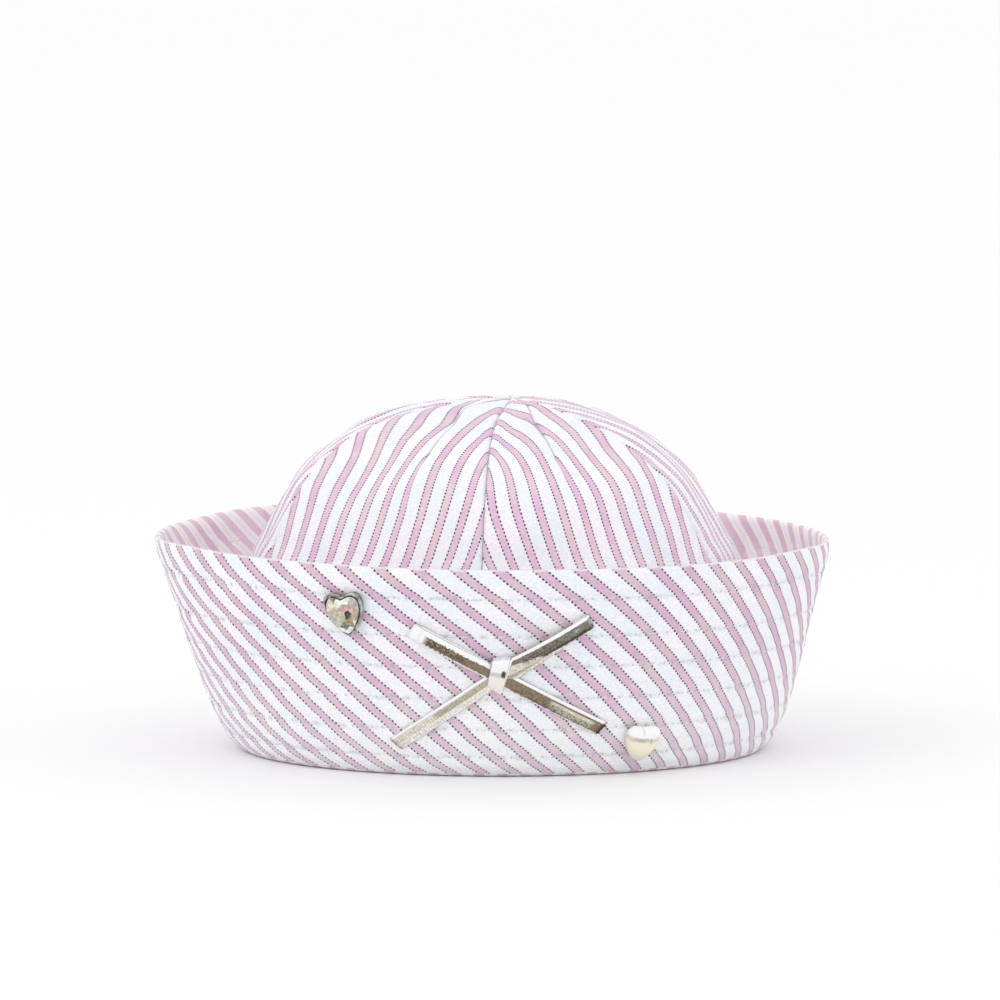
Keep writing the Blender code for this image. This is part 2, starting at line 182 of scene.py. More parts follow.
# The relief is calm near the top, near a seam and where the crown is narrow
CALM_TOP_SHARE = 0.2
CALM_BY_SEAM = 9 * MM
NARROW_BELOW = 20 * MM
FINE_CREASE_SHARE, SEAM_PUCKER_SHARE = 0.12, 0.6
# The column beside a gore's dart up which its cloth is measured, and the steepest turn of a stripe
REFERENCE_COLUMNS = 8
STEEPEST_TURN = 1.2

# Stripes passed from the front seam towards the side, up the crown, counted on the seam, on both sides
# of the dart, half way to the side seam and on it, to a quarter of a stripe. These gores are cut across
# the stripes at their seams.
StripeRow = namedtuple("StripeRow", "place seam dart_near dart_far half_way side")
FRONT_STRIPES = {
    "front_right": (
        StripeRow(0.2, -0.75, 4, 4, 8, 11.5),
        StripeRow(0.4, 0.5, 4.5, 4.5, 7.75, 10.5),
        StripeRow(0.6, 1.25, 4.75, 5, 7.5, 9.25),
        StripeRow(0.8, 4.25, 5, 6.25, 7, 7.75),
        StripeRow(1.0, 6.75, 6.75, 7.25, 7.25, 7.25),
    ),
    "front_left": (
        StripeRow(0.2, -1, 3.25, 3.25, 7.75, 11.5),
        StripeRow(0.4, 0, 3.75, 3.75, 7.75, 10.25),
        StripeRow(0.6, 0.75, 3.75, 4, 7.5, 9),
        StripeRow(0.8, 2.5, 3.75, 4.75, 6, 7),
        StripeRow(1.0, 4, 4, 4.25, 4.25, 4.25),
    ),
}
# The other gores are cut along their middle, and the first stripe lies this far from it
GRAIN_STRIPES = {"side_right": 0.55, "back_right": 0.2, "back_left": 0.0, "side_left": 0.3}

# Bow: a flat tube of foil in two loops and two tails with a knot, on the cuff's front
STRIP_WIDTH = 5.8 * MM
STRIP_THICKNESS = 0.9 * MM
SEAT_GAP = 0.3 * MM
KNOT_X = 2.0 * MM
KNOT_HEIGHT = 38.3 * MM
KNOT_WIDTH = 6.4 * MM
KNOT_LENGTH = 12.0 * MM
KNOT_DEPTH = 4.4 * MM
KNOT_FAN = 0.27
KNOT_TILT_DEGREES = -12
# Where the knot fans out and its sides are lifted, as shares of its length and width
KNOT_ROWS = (0.45, 0.35, 0.2, 0.1)
KNOT_COLUMNS = (0.3, 0.1, -0.1, -0.3)
KNOT_UPPER_LIFT, KNOT_LOWER_LIFT = 0.12 * MM, 0.10 * MM
KNOT_SPARE = 0.1 * MM
ARM_ROOT_X = 1.6 * MM
# Each arm runs from the knot to its end. A loop opens by so much in its middle and its under layer
# drops so far at the knot, and a tail's end is cut so much on the slant
BowArm = namedtuple("BowArm", "name root_height end_x end_height opening under_drop end_cut ribs")
BOW_ARMS = (
    BowArm("bow_loop_left", 39.2 * MM, -27.2 * MM, 53.8 * MM, 1.3 * MM, 0.2 * MM, 0.0, 0.15),
    BowArm("bow_loop_right", 40.0 * MM, 33.8 * MM, 57.2 * MM, 2.3 * MM, 3.6 * MM, 0.0, 0.15),
    BowArm("bow_tail_left", 36.1 * MM, -34.0 * MM, 11.9 * MM, 0.0, 0.0, 0.9 * MM, 1.0),
    BowArm("bow_tail_right", 37.0 * MM, 39.0 * MM, 17.6 * MM, 0.0, 0.0, 1.4 * MM, 0.8),
)
LOOP_FOLD = 1.05 * MM
ARM_STATIONS, FOLD_STATIONS = 25, 9
FOLD_LENGTH_SHARE = 0.02
CUT_OVER_SHARE = 0.2
RIB_SPACING, RIBBED_LENGTH = 0.75 * MM, 30.0 * MM
# Bands that the foil mirrors, from 0 at an arm's lower edge to 1 at its upper one, at its root and its
# end, between two parts of its length (past 1 is a loop's under layer), and how ragged their edges are.
# Each row is a FoilBand
FoilBand = namedtuple("FoilBand", "colour root_low root_high end_low end_high start stop ragged")
FOIL_BANDS = {
    "bow_loop_left": (
        ("tan", 0.08, 0.68, 0.08, 0.67, -0.1, 0.87, 0.14),
        ("bronze", 0.60, 0.68, 0.58, 0.68, -0.1, 0.85, 0.20),
        ("bronze", 0.18, 0.46, 0.16, 0.44, 0.30, 0.84, 1.00),
        ("ivory", 0.00, 0.08, 0.00, 0.08, -0.1, 1.10, 0.02),
        ("line", 0.10, 0.90, 0.10, 0.90, 0.905, 0.925, 0.02),
        ("line", 0.96, 1.05, 0.96, 1.05, -0.1, 1.10, 0.02),
    ),
    "bow_loop_right": (
        ("cream", 0.00, 0.74, 0.00, -0.50, -0.1, 0.60, 0.03),
        ("slate", 0.66, 0.84, -0.42, 0.74, 0.01, 0.50, 0.05),
        ("slate", 0.16, 0.80, 0.05, 0.78, 0.42, 1.04, 0.05),
        ("bronze", 0.76, 0.83, 0.70, 0.77, 0.08, 0.90, 0.06),
        ("bronze", 0.14, 0.26, 0.00, 0.30, 0.40, 1.04, 0.10),
        ("bronze", 0.30, 0.50, 0.30, 0.50, 0.20, 0.70, 1.00),
        ("pale", 0.44, 0.66, 0.44, 0.60, 0.80, 0.90, 0.10),
        ("line", 0.96, 1.05, 0.96, 1.05, -0.1, 1.10, 0.02),
        ("cream", -0.05, 1.05, -0.05, 1.05, 1.06, 2.10, 0.05),
        ("olive", 0.20, 0.60, 0.20, 0.60, 1.30, 2.10, 0.10),
        # Painted shadow: the under layer is dark near the knot, in the gap above the right tail
        ("bronze", 0.60, 1.05, 0.60, 1.05, 1.92, 2.10, 0.02),
    ),
    "bow_tail_left": (
        ("cream", 0.36, 0.82, 0.38, 0.82, -0.1, 1.10, 0.04),
        ("olive", 0.42, 0.82, 0.44, 0.82, -0.1, 0.60, 0.04),
        ("bronze", 0.80, 0.86, 0.80, 0.86, -0.1, 1.10, 0.015),
        ("ivory", 0.05, 0.38, 0.05, 0.40, -0.1, 1.10, 0.02),
        ("line", -0.05, 0.05, -0.05, 0.05, -0.1, 1.10, 0.02),
    ),
    "bow_tail_right": (
        ("tan", 0.06, 0.80, 0.06, 0.80, -0.1, 1.10, 0.04),
        ("olive", 0.12, 0.70, 0.12, 0.70, 0.46, 0.92, 0.10),
        ("bronze", 0.10, 0.26, 0.10, 0.26, 0.10, 0.92, 0.80),
        ("cream", 0.50, 0.70, 0.46, 0.68, 0.46, 0.92, 0.06),
        ("bronze", 0.73, 0.81, 0.73, 0.81, -0.1, 1.10, 0.02),
        ("bronze", 0.04, 0.78, 0.04, 0.78, 0.945, 1.10, 0.50),
        ("ivory", 0.00, 0.06, 0.00, 0.06, -0.1, 1.10, 0.02),
        ("line", 0.96, 1.05, 0.96, 1.05, -0.1, 1.10, 0.02),
    ),
}

# Heart studs
HEART_LOBE_RISE = 0.72
CRYSTAL_SOFTNESS = 0.12
PEARL_SOFTNESS = 0.34
STUD_GAP = 0.5 * MM
CRYSTAL_X = -50.6 * MM
CRYSTAL_HEIGHT = 58.9 * MM
CRYSTAL_WIDTH = 14.8 * MM
CRYSTAL_LENGTH = 15.8 * MM
CRYSTAL_TILT_DEGREES = 6
CRYSTAL_DEPTH = 4.6 * MM
CUP_WALL = 0.6 * MM
CUP_BASE = 1.0 * MM
CUP_DEPTH = 2.6 * MM
PEARL_X = 51.4 * MM
PEARL_HEIGHT = 12.7 * MM
PEARL_WIDTH = 13.2 * MM
PEARL_LENGTH = 13.8 * MM
PEARL_TILT_DEGREES = -4
PEARL_DEPTH = 5.4 * MM
HEART_POINTS = 72
Level = namedtuple("Level", "scale depth")
# The cup up its groove and lip and down inside: its outline's scale and its depth in millimetres
CUP_LEVELS = (
    ((1.0, 0.5), (1.0, 1.1), (0.965, 1.25), (0.965, 1.45), (1.0, 1.6))
    + ((1.0, 2.45), (0.985, 2.6), (0.93, 2.6), (0.915, 2.45), (0.915, 1.0))
)
# The pearl's puff: its outline's scale and its depth, as shares of the whole
PEARL_LEVELS = (
    ((0.93, 0.10), (1.0, 0.24), (1.0, 0.38), (0.965, 0.54), (0.89, 0.70))
    + ((0.77, 0.83), (0.60, 0.92), (0.40, 0.975), (0.18, 0.996))
)
CUP_FOOT_SCALE, STONE_FOOT_SCALE, PEARL_FOOT_SCALE = 0.92, 0.9, 0.82
# Room between the stone and its cup, and the stone's block above its highest facet
STONE_ROOM, STONE_SPARE = 0.35 * MM, 0.5 * MM
# A face is a facet when its normal agrees this well; the stone's side has a colour of its own
FACET_MATCH = 0.9995
STONE_SIDE_COLOUR = (0.5, 0.5, 0.48)
# Facets of the stone: each touches its rounded top at a place right of and above the middle, in
# millimetres, and mirrors a colour
STONE_ROUNDING = 0.040
Facet = namedtuple("Facet", "right up colour")
FACETS = tuple(
    Facet(*row)
    for row in (
        (-3.4, 6.6, (0.27, 0.21, 0.20)),
        (4.9, 5.2, (0.50, 0.51, 0.50)),
        (1.9, 6.3, (0.97, 0.97, 0.92)),
        (-0.9, 5.0, (0.97, 0.96, 0.90)),
        (-4.6, 4.4, (0.84, 0.79, 0.66)),
        (0.9, 3.1, (0.68, 0.38, 0.36)),
        (4.0, 2.8, (0.60, 0.43, 0.40)),
        (-1.7, 2.0, (0.60, 0.50, 0.37)),
        (0.1, 0.7, (0.66, 0.52, 0.40)),
        (2.4, 0.6, (0.020, 0.012, 0.007)),
        (-3.8, 0.4, (0.52, 0.51, 0.41)),
        (-1.9, -1.7, (0.58, 0.57, 0.46)),
        (4.4, -0.5, (0.46, 0.36, 0.24)),
        (4.6, -2.6, (0.88, 0.85, 0.72)),
        (2.2, -2.2, (0.40, 0.32, 0.20)),
        (0.4, -3.3, (0.11, 0.13, 0.09)),
        (-1.0, -5.8, (0.97, 0.97, 0.95)),
        (2.2, -5.3, (0.94, 0.94, 0.90)),
    )
)

# Stage: the picture's scale on the cap, the camera's height above the horizon, the point at its centre
# and the lamp
PICTURE_SIDE_PIXELS = 1000
METRES_PER_PIXEL = 0.355 * MM
CAMERA_RISE_DEGREES = 6.3
CAMERA_AIM = Vector((2.84 * MM, 0.0, 87.9 * MM))
SENSOR_WIDTH = 36.0
FARTHEST_SEEN = 200.0
LAMP_PLACE = (-1.3, -1.6, 2.0)
LAMP_SIDE = 1.4
# The floor lies a hair below the foot
FLOOR_HEIGHT = -0.1 * MM


# Settings


def colour_setting(name, description, default):
    """A colour that the sidebar shows."""
    return FloatVectorProperty(
        name=name, description=description, subtype="COLOR", default=default, min=0.0, max=1.0
    )


def length_setting(name, description, default, most):
    """A length that the sidebar shows."""
    return FloatProperty(
        name=name, description=description, unit="LENGTH", precision=5, default=default, min=0.0, max=most
    )


def number_setting(name, description, default, least, most, **more):
    """A number that the sidebar shows."""
    return FloatProperty(
        name=name, description=description, default=default, min=least, max=most, **more
    )


class CapClothSettings(bpy.types.PropertyGroup):
    """The striped cotton of the cuff and the crown, and its sewing."""

    white: colour_setting("White", "Colour of the white cotton", (0.93, 0.915, 0.95))
    cool: colour_setting("Cool white", "Colour of the white cotton's cool patches", (0.86, 0.90, 0.955))
    # Painted light: the white that the cuff's cloth is lightened towards at its foot
    faded: colour_setting("Faded white", "Colour of the white cotton at the cuff's foot", (0.965, 0.985, 1.0))
    pink: colour_setting("Pink", "Colour of the pink stripes", (0.765, 0.585, 0.655))
    lilac: colour_setting("Lilac", "Colour of the pink stripes' deeper patches", (0.735, 0.50, 0.675))
    dash: colour_setting("Dash", "Colour of the dark dashes on the stripes' edges", (0.03, 0.012, 0.03))
    facing_white: colour_setting("Facing ground", "Ground on the cuff's inside", (1.0, 0.985, 0.99))
    facing_pink: colour_setting("Facing pink", "Stripes on the cuff's inside", (0.79, 0.59, 0.68))
    facing_pale: colour_setting("Facing pale stripe", "Faint stripes between them", (0.98, 0.90, 0.94))
    # Painted shade: the colour laid in needle holes, in the valleys by the rows of stitches and along seams
    # and darts
    shade: colour_setting("Shade", "Colour of needle holes and of seams' folds", (0.42, 0.44, 0.48))
    thread: colour_setting("Thread", "Colour of the sewing thread", (0.93, 0.90, 0.93))
    pitch: length_setting("Stripe pitch", "From one pink stripe to the next", 8.3 * MM, 30 * MM)
    pink_share: number_setting("Pink share", "Share of the pitch that is pink", 0.355, 0.0, 1.0)
    dash_spacing: length_setting("Dash spacing", "From one dark dash to the next", 1.30 * MM, 5 * MM)
    dash_length: length_setting("Dash length", "Length of each dark dash", 0.79 * MM, 3 * MM)
    dash_width: length_setting("Dash width", "Width of each dark dash", 0.66 * MM, 2 * MM)
    yarn: length_setting("Yarn spacing", "From one yarn of the weave to the next", 0.32 * MM, 2 * MM)
    stitch: length_setting("Stitch length", "From one needle hole to the next", 4.0 * MM, 10 * MM)
    thread_radius: length_setting("Thread radius", "Radius of the sewing thread", 0.19 * MM, 1 * MM)
    puff: length_setting("Puff", "Swelling between two rows of stitches", 0.5 * MM, 2 * MM)
    pucker: length_setting("Pucker", "Height of the ripples drawn up by the sewing", 0.18 * MM, 1 * MM)
    crease: length_setting("Crown creases", "Height of the crown's soft creases", 0.5 * MM, 2 * MM)


class CapBowSettings(bpy.types.PropertyGroup):
    """The silver strip of the bow, and the colours of the reflections painted on its foil."""

    silver: colour_setting("Silver", "Colour of the bright foil", (0.95, 0.95, 0.96))
    tan: colour_setting("Tan", "Colour of the foil's middle tones", (0.29, 0.225, 0.155))
    bronze: colour_setting("Bronze", "Colour of the foil's dark tones", (0.10, 0.08, 0.06))
    slate: colour_setting("Slate", "Colour of the right loop's dark tones", (0.24, 0.225, 0.185))
    olive: colour_setting("Olive", "Colour of the foil's greenish tones", (0.50, 0.48, 0.38))
    cream: colour_setting("Cream", "Colour of the foil's warm light tones", (0.80, 0.77, 0.66))
    ivory: colour_setting("Ivory", "Colour of the foil's palest warm tones", (0.90, 0.87, 0.79))
    pale: colour_setting("Pale", "Colour of the foil's cool middle tones", (0.50, 0.54, 0.55))
    line: colour_setting("Edge line", "Colour of the foil's thin edges", (0.30, 0.29, 0.29))
    creases: length_setting("Creases", "Depth of the foil's fine creases", 0.05 * MM, 1 * MM)


class CapStudSettings(bpy.types.PropertyGroup):
    """The crystal heart and the pearl heart."""

    cup: colour_setting("Cup", "Colour of the crystal's metal cup", (0.42, 0.43, 0.42))
    # The pearl's top is a painted highlight, and its creases are painted shade
    pearl_highlight: colour_setting("Pearl highlight", "Colour of the pearl coat's top", (0.97, 0.96, 0.96))
    pearl_warm: colour_setting("Pearl warm", "Colour of the pearl coat's lower part", (0.87, 0.81, 0.63))
    pearl_shade: colour_setting("Pearl shade", "Colour of the pearl's creases", (0.34, 0.31, 0.26))


class CapStageSettings(bpy.types.PropertyGroup):
    """The plain studio: floor, light and camera."""

    floor: colour_setting("Floor", "Colour of the floor", (0.97, 0.97, 0.97))
    floor_side: number_setting(
        "Floor size", "Length of the floor's side", 80.0, 1.0, 200.0, unit="LENGTH"
    )
    sky_strength: number_setting("Room light", "Strength of the soft light from all round", 1.0, 0.0, 5.0)
    key_power: number_setting(
        "Key light", "Power of the large soft lamp at the upper left", 5.5, 0.0, 500.0, unit="POWER"
    )
    lens: number_setting(
        "Lens", "Focal length in millimetres; long, so that perspective hardly shows", 1200.0, 50.0, 1600.0
    )


# Shapes that the pieces share


def deselect_all():
    """Primitives and edit mode act on what is selected, so each piece starts with nothing selected."""
    for thing in list(bpy.context.selected_objects):
        thing.select_set(False)


def smooth_rows(rows, places):
    """Points on the smooth curve through a table's rows; places run from 0 to the last row's index."""
    table = np.array(rows, float)
    last = len(table) - 1
    index = np.clip(np.floor(places).astype(int), 0, last - 1)
    part = (places - index)[..., None]
    before = table[np.maximum(index - 1, 0)]
    start = table[index]
    end = table[index + 1]
    after = table[np.minimum(index + 2, last)]
    return start + 0.5 * part * (
        end
        - before
        + part * (2 * before - 5 * start + 4 * end - after + part * (3 * (start - end) + after - before))
    )


def ease(values):
    """From 0 to 1 with a soft start and end."""
    held = np.clip(values, 0.0, 1.0)
    return held * held * (3 - 2 * held)


def bump_at(distance, width):
    """A soft bump of height 1 at no distance."""
    return np.exp(-((distance / width) ** 2))


def ripples(across, along, wavelength, seed, waves=7):
    """Soft irregular ripples of about unit height: a few sine waves with seeded directions and starts."""
    random = np.random.default_rng(seed)
    total = np.zeros(np.broadcast(across, along).shape)
    for _ in range(waves):
        turn = random.uniform(0, math.tau)
        length = wavelength * random.uniform(0.7, 1.6)
        start = random.uniform(0, math.tau)
        total += np.sin(math.tau * (across * math.cos(turn) + along * math.sin(turn)) / length + start)
    return total / math.sqrt(waves)


def unit(vectors):
    """Vectors made one long."""
    return vectors / np.maximum(np.linalg.norm(vectors, axis=-1, keepdims=True), 1e-12)


def wall_radius(height):
    """The cuff's outer radius at a height."""
    heights = [row.height for row in CUFF_OUTER_WALL]
    radii = [row.radius for row in CUFF_OUTER_WALL]
    return np.interp(height, heights, radii)


def rim_rise(angle):
    """How far the rim is lifted at an angle, eased between the rows of the wave's table."""
    turn = (np.degrees(angle) + 180) % 360 - 180
    stops = np.array([row.degrees for row in RIM_WAVE], float)
    rises = np.array([row.rise_mm * MM for row in RIM_WAVE])
    index = np.clip(np.searchsorted(stops, turn) - 1, 0, len(stops) - 2)
    part = ease((turn - stops[index]) / (stops[index + 1] - stops[index]))
    return rises[index] + part * (rises[index + 1] - rises[index])


def lean(height):
    """The cuff's centre moves along X from its foot to its rim."""
    return CUFF_FOOT_SHIFT * (1 - np.clip(height / CUFF_HEIGHT, 0.0, 1.0))


def cuff_place(angle, radius, height):
    """Points at an angle, radius and height of the cuff, leant and waved as its rim is."""
    waved = height + rim_rise(angle) * np.clip(height / CUFF_HEIGHT, 0.0, 1.2) ** 2
    x = lean(height) + radius * np.sin(angle)
    return np.stack(np.broadcast_arrays(x, -radius * np.cos(angle), waved), axis=-1)


def wall_point(x, height):
    """The point of the cuff's front wall at x and height."""
    radius = wall_radius(height)
    angle = np.arcsin((x - lean(height)) / radius)
    return Vector(cuff_place(angle, radius, height))


def wall_frame(x, height):
    """The wall's right, up and outward directions at a point, and the point itself, as a matrix."""
    step = 1.0 * MM
    point = wall_point(x, height)
    right = (wall_point(x + step, height) - wall_point(x - step, height)).normalized()
    up = (wall_point(x, height + step) - wall_point(x, height - step)).normalized()
    out = right.cross(up).normalized()
    up = out.cross(right)
    return Matrix.Translation(point) @ Matrix((right, up, out)).transposed().to_4x4()


def sheet_mesh(name, points, wrap_columns=False, wrap_rows=False, **maps):
    """A sheet of quads through points[row, column], with named UV maps that hold a place for each point.

    A wrapped sheet joins its last column or row to its first, and its maps have one more of them.
    """
    rows, columns = points.shape[:2]
    row = np.arange(rows if wrap_rows else rows - 1)[:, None]
    column = np.arange(columns if wrap_columns else columns - 1)[None, :]
    corners = ((row, column), (row, column + 1), (row + 1, column + 1), (row + 1, column))
    quads = np.stack([(r % rows) * columns + c % columns for r, c in corners], axis=-1).reshape(-1, 4)
    mesh = bpy.data.meshes.new(name)
    mesh.from_pydata(points.reshape(-1, 3).tolist(), [], quads.tolist())
    for label, held in maps.items():
        places = np.stack([held[r, c] for r, c in corners], axis=-2)
        mesh.uv_layers.new(name=label).data.foreach_set("uv", places.ravel())
    mesh.shade_smooth()
    return mesh


def add_piece(name, mesh, materials, slot, *nodes):
    """A finished mesh becomes a piece of the object, in the place of its nodes."""
    piece = bpy.data.objects.new(name, mesh)
    bpy.context.scene.collection.objects.link(piece)
    for material in materials:
        mesh.materials.append(material)
    claim(piece, slot, *nodes)
    return piece


def claim(piece, slot, *nodes):
    """The piece rides on the cap and stands for its nodes. Its slot is not used."""
    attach(piece, ROOT)
    if nodes:
        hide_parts(*nodes)


def apply_modifiers(piece):
    """Apply every modifier of a piece in order."""
    deselect_all()
    bpy.context.view_layer.objects.active = piece
    piece.select_set(True)
    for modifier in list(piece.modifiers):
        bpy.ops.object.modifier_apply(modifier=modifier.name)


def solidify(piece, thickness, inner_material=0, subdivisions=0):
    """Give a sheet its thickness inwards, and smooth it."""
    wall = piece.modifiers.new("wall", "SOLIDIFY")
    wall.thickness = thickness
    wall.offset = -1.0
    wall.material_offset = inner_material
    if subdivisions:
        smooth = piece.modifiers.new("smooth", "SUBSURF")
        smooth.levels = smooth.render_levels = subdivisions
    apply_modifiers(piece)


# Materials


def add_node(tree, kind, *inputs, **settings):
    """Add a node, fill its first inputs with numbers or links, and give its first output."""
    node = tree.nodes.new(kind)
    for name, setting in settings.items():
        setattr(node, name, setting)
    for socket, given in zip(node.inputs, inputs):
        if isinstance(given, bpy.types.NodeSocket):
            tree.links.new(given, socket)
        elif given is not None:
            socket.default_value = given
    return node.outputs[0]


def maths(tree, operation, *inputs):
    """A Math node's result."""
    return add_node(tree, "ShaderNodeMath", *inputs, operation=operation)


def times(tree, first, *others):
    """A product of two or more numbers."""
    for other in others:
        first = maths(tree, "MULTIPLY", first, other)
    return first


def plus(tree, first, second):
    """A sum."""
    return maths(tree, "ADD", first, second)


def minus(tree, first, second):
    """A difference."""
    return maths(tree, "SUBTRACT", first, second)


def divided(tree, first, second):
    """A quotient."""
    return maths(tree, "DIVIDE", first, second)


def mapped(tree, value, low, high, to_low=0.0, to_high=1.0):
    """A value eased from one range to another and held at its ends."""
    ends = (low, high, to_low, to_high)
    return add_node(tree, "ShaderNodeMapRange", value, *ends, interpolation_type="SMOOTHSTEP")


def mixed(tree, share, first, second):
    """Two colours mixed by a share."""
    node = tree.nodes.new("ShaderNodeMix")
    node.data_type = "RGBA"
    for socket, given in ((node.inputs[0], share), (node.inputs[6], first), (node.inputs[7], second)):
        if isinstance(given, bpy.types.NodeSocket):
            tree.links.new(given, socket)
        else:
            socket.default_value = given
    return node.outputs[2]


def noise(tree, vector, scale, detail=2.0):
    """A soft noise from 0 to 1."""
    node = tree.nodes.new("ShaderNodeTexNoise")
    tree.links.new(vector, node.inputs["Vector"])
    node.inputs["Scale"].default_value = scale
    node.inputs["Detail"].default_value = detail
    return node.outputs["Fac"]


def new_group(name, inputs, outputs, colours=()):
    """An empty shader node group with named sockets, and its input and output sockets.

    Sockets hold numbers, apart from those listed as colours.
    """
    group = bpy.data.node_groups.new(name, "ShaderNodeTree")
    for side, labels in (("INPUT", inputs), ("OUTPUT", outputs)):
        for label in labels:
            kind = "NodeSocketColor" if label in colours else "NodeSocketFloat"
            group.interface.new_socket(name=label, in_out=side, socket_type=kind)
    return group, group.nodes.new("NodeGroupInput").outputs, group.nodes.new("NodeGroupOutput").inputs


def new_material(name, **constants):
    """A Principled material with constant values on its own sockets."""
    material = bpy.data.materials.new(name)
    material.use_nodes = True
    shader = material.node_tree.nodes["Principled BSDF"]
    for label, value in constants.items():
        shader.inputs[label.replace("_", " ").title().replace("Ior", "IOR")].default_value = value
    return material, material.node_tree, shader


def place_group(tree, name, **inputs):
    """Put a shared group in a material's tree, its named inputs given as numbers, colours or links."""
    node = tree.nodes.new("ShaderNodeGroup")
    node.node_tree = bpy.data.node_groups[name]
    for label, given in inputs.items():
        socket = node.inputs[label.replace("_", " ").capitalize()]
        if isinstance(given, bpy.types.NodeSocket):
            tree.links.new(given, socket)
        else:
            socket.default_value = given
    return node.outputs


def rgba(colour, shade=1.0):
    """A colour property as a node's colour, made darker or lighter by a shade."""
    return (*(channel * shade for channel in colour), 1.0)


def bump(tree, shader, height, distance, strength=1.0):
    """Feed a height from 0 to 1, this distance high, to the shader's normal."""
    node = tree.nodes.new("ShaderNodeBump")
    node.inputs["Distance"].default_value = distance
    node.inputs["Strength"].default_value = strength
    tree.links.new(height, node.inputs["Height"])
    tree.links.new(node.outputs["Normal"], shader.inputs["Normal"])


def map_place(tree, name):
    """The two coordinates of a UV map."""
    node = tree.nodes.new("ShaderNodeUVMap")
    node.uv_map = name
    parts = tree.nodes.new("ShaderNodeSeparateXYZ")
    tree.links.new(node.outputs["UV"], parts.inputs[0])
    return parts.outputs["X"], parts.outputs["Y"]


def object_place(tree):
    """Object coordinates."""
    return tree.nodes.new("ShaderNodeTexCoord").outputs["Object"]


def object_height(tree):
    """The height above the floor."""
    parts = tree.nodes.new("ShaderNodeSeparateXYZ")
    tree.links.new(object_place(tree), parts.inputs[0])
    return parts.outputs["Z"]


def hypotenuse(tree, first, second):
    """The length of two distances at right angles."""
    return maths(tree, "SQRT", plus(tree, times(tree, first, first), times(tree, second, second)))


def off_nearest(tree, value, spacing):
    """The distance to the nearest whole multiple of a spacing."""
    steps = divided(tree, value, spacing)
    return times(tree, minus(tree, steps, maths(tree, "ROUND", steps)), spacing)


def make_stripe_group():
    """Stripes across the cloth, each with a yarn of dark dashes along both edges.

    Across and along are places on the flat cloth in metres.
    """
    group, given, result = new_group(
        "striped_cotton",
        ("Across", "Along", "Pitch", "Stripe share", "Between share")
        + ("Dash spacing", "Dash length", "Dash width", "Ground", "Stripe", "Between", "Dash"),
        ("Color", "Dash mask"),
        colours=("Ground", "Stripe", "Between", "Dash", "Color"),
    )
    pitch = given["Pitch"]
    soft = 0.06 * MM
    off_centre = maths(group, "ABSOLUTE", off_nearest(group, given["Across"], pitch))
    half_stripe = times(group, given["Stripe share"], pitch, 0.5)
    edge = minus(group, off_centre, half_stripe)
    off_middle = minus(group, times(group, pitch, 0.5), off_centre)
    half_between = times(group, given["Between share"], pitch, 0.5)
    between = mapped(group, minus(group, off_middle, half_between), 5 * soft, -5 * soft)
    halo = mapped(group, edge, 15 * soft, 0.0, 0.0, 0.22)
    colour = mixed(group, halo, given["Ground"], given["Stripe"])
    colour = mixed(group, mapped(group, edge, soft, -soft), colour, given["Stripe"])
    colour = mixed(group, between, colour, given["Between"])
    dash_across = divided(group, edge, times(group, given["Dash width"], 0.5))
    off_dash = off_nearest(group, given["Along"], given["Dash spacing"])
    dash_along = divided(group, off_dash, times(group, given["Dash length"], 0.5))
    dash = mapped(group, hypotenuse(group, dash_across, dash_along), 1.15, 0.8)
    group.links.new(mixed(group, dash, colour, given["Dash"]), result["Color"])
    group.links.new(dash, result["Dash mask"])


def make_weave_group():
    """A plain weave's height, from 0 to 1, with slubs, and a fleck that shows single yarns."""
    group, given, result = new_group("plain_weave", ("Across", "Along", "Yarn"), ("Height", "Fleck"))
    waves = [
        maths(group, "SINE", divided(group, times(group, given[side], math.pi), given["Yarn"]))
        for side in ("Across", "Along")
    ]
    crossing = times(group, waves[0], waves[1])
    joined = add_node(group, "ShaderNodeCombineXYZ", given["Across"], given["Along"], 0.0)
    slub = noise(group, joined, 1100.0, detail=3.0)
    height = plus(group, times(group, crossing, 0.3), slub)
    fleck = plus(group, times(group, crossing, 0.15), slub)
    group.links.new(height, result["Height"])
    group.links.new(mapped(group, fleck, 0.3, 0.75), result["Fleck"])


def make_needle_group():
    """Needle holes along a row of stitches, and the cloth that the thread draws down round them."""
    group, given, result = new_group(
        "needle_row",
        ("Along", "Off row", "Stitch", "Hole", "Valley"),
        ("Hole mask", "Valley mask"),
    )
    off_hole = off_nearest(group, given["Along"], given["Stitch"])
    far = hypotenuse(group, off_hole, given["Off row"])
    hole = mapped(group, divided(group, far, given["Hole"]), 1.2, 0.4)
    drawn = divided(group, maths(group, "ABSOLUTE", given["Off row"]), given["Valley"])
    group.links.new(hole, result["Hole mask"])
    group.links.new(mapped(group, drawn, 1.0, 0.0), result["Valley mask"])


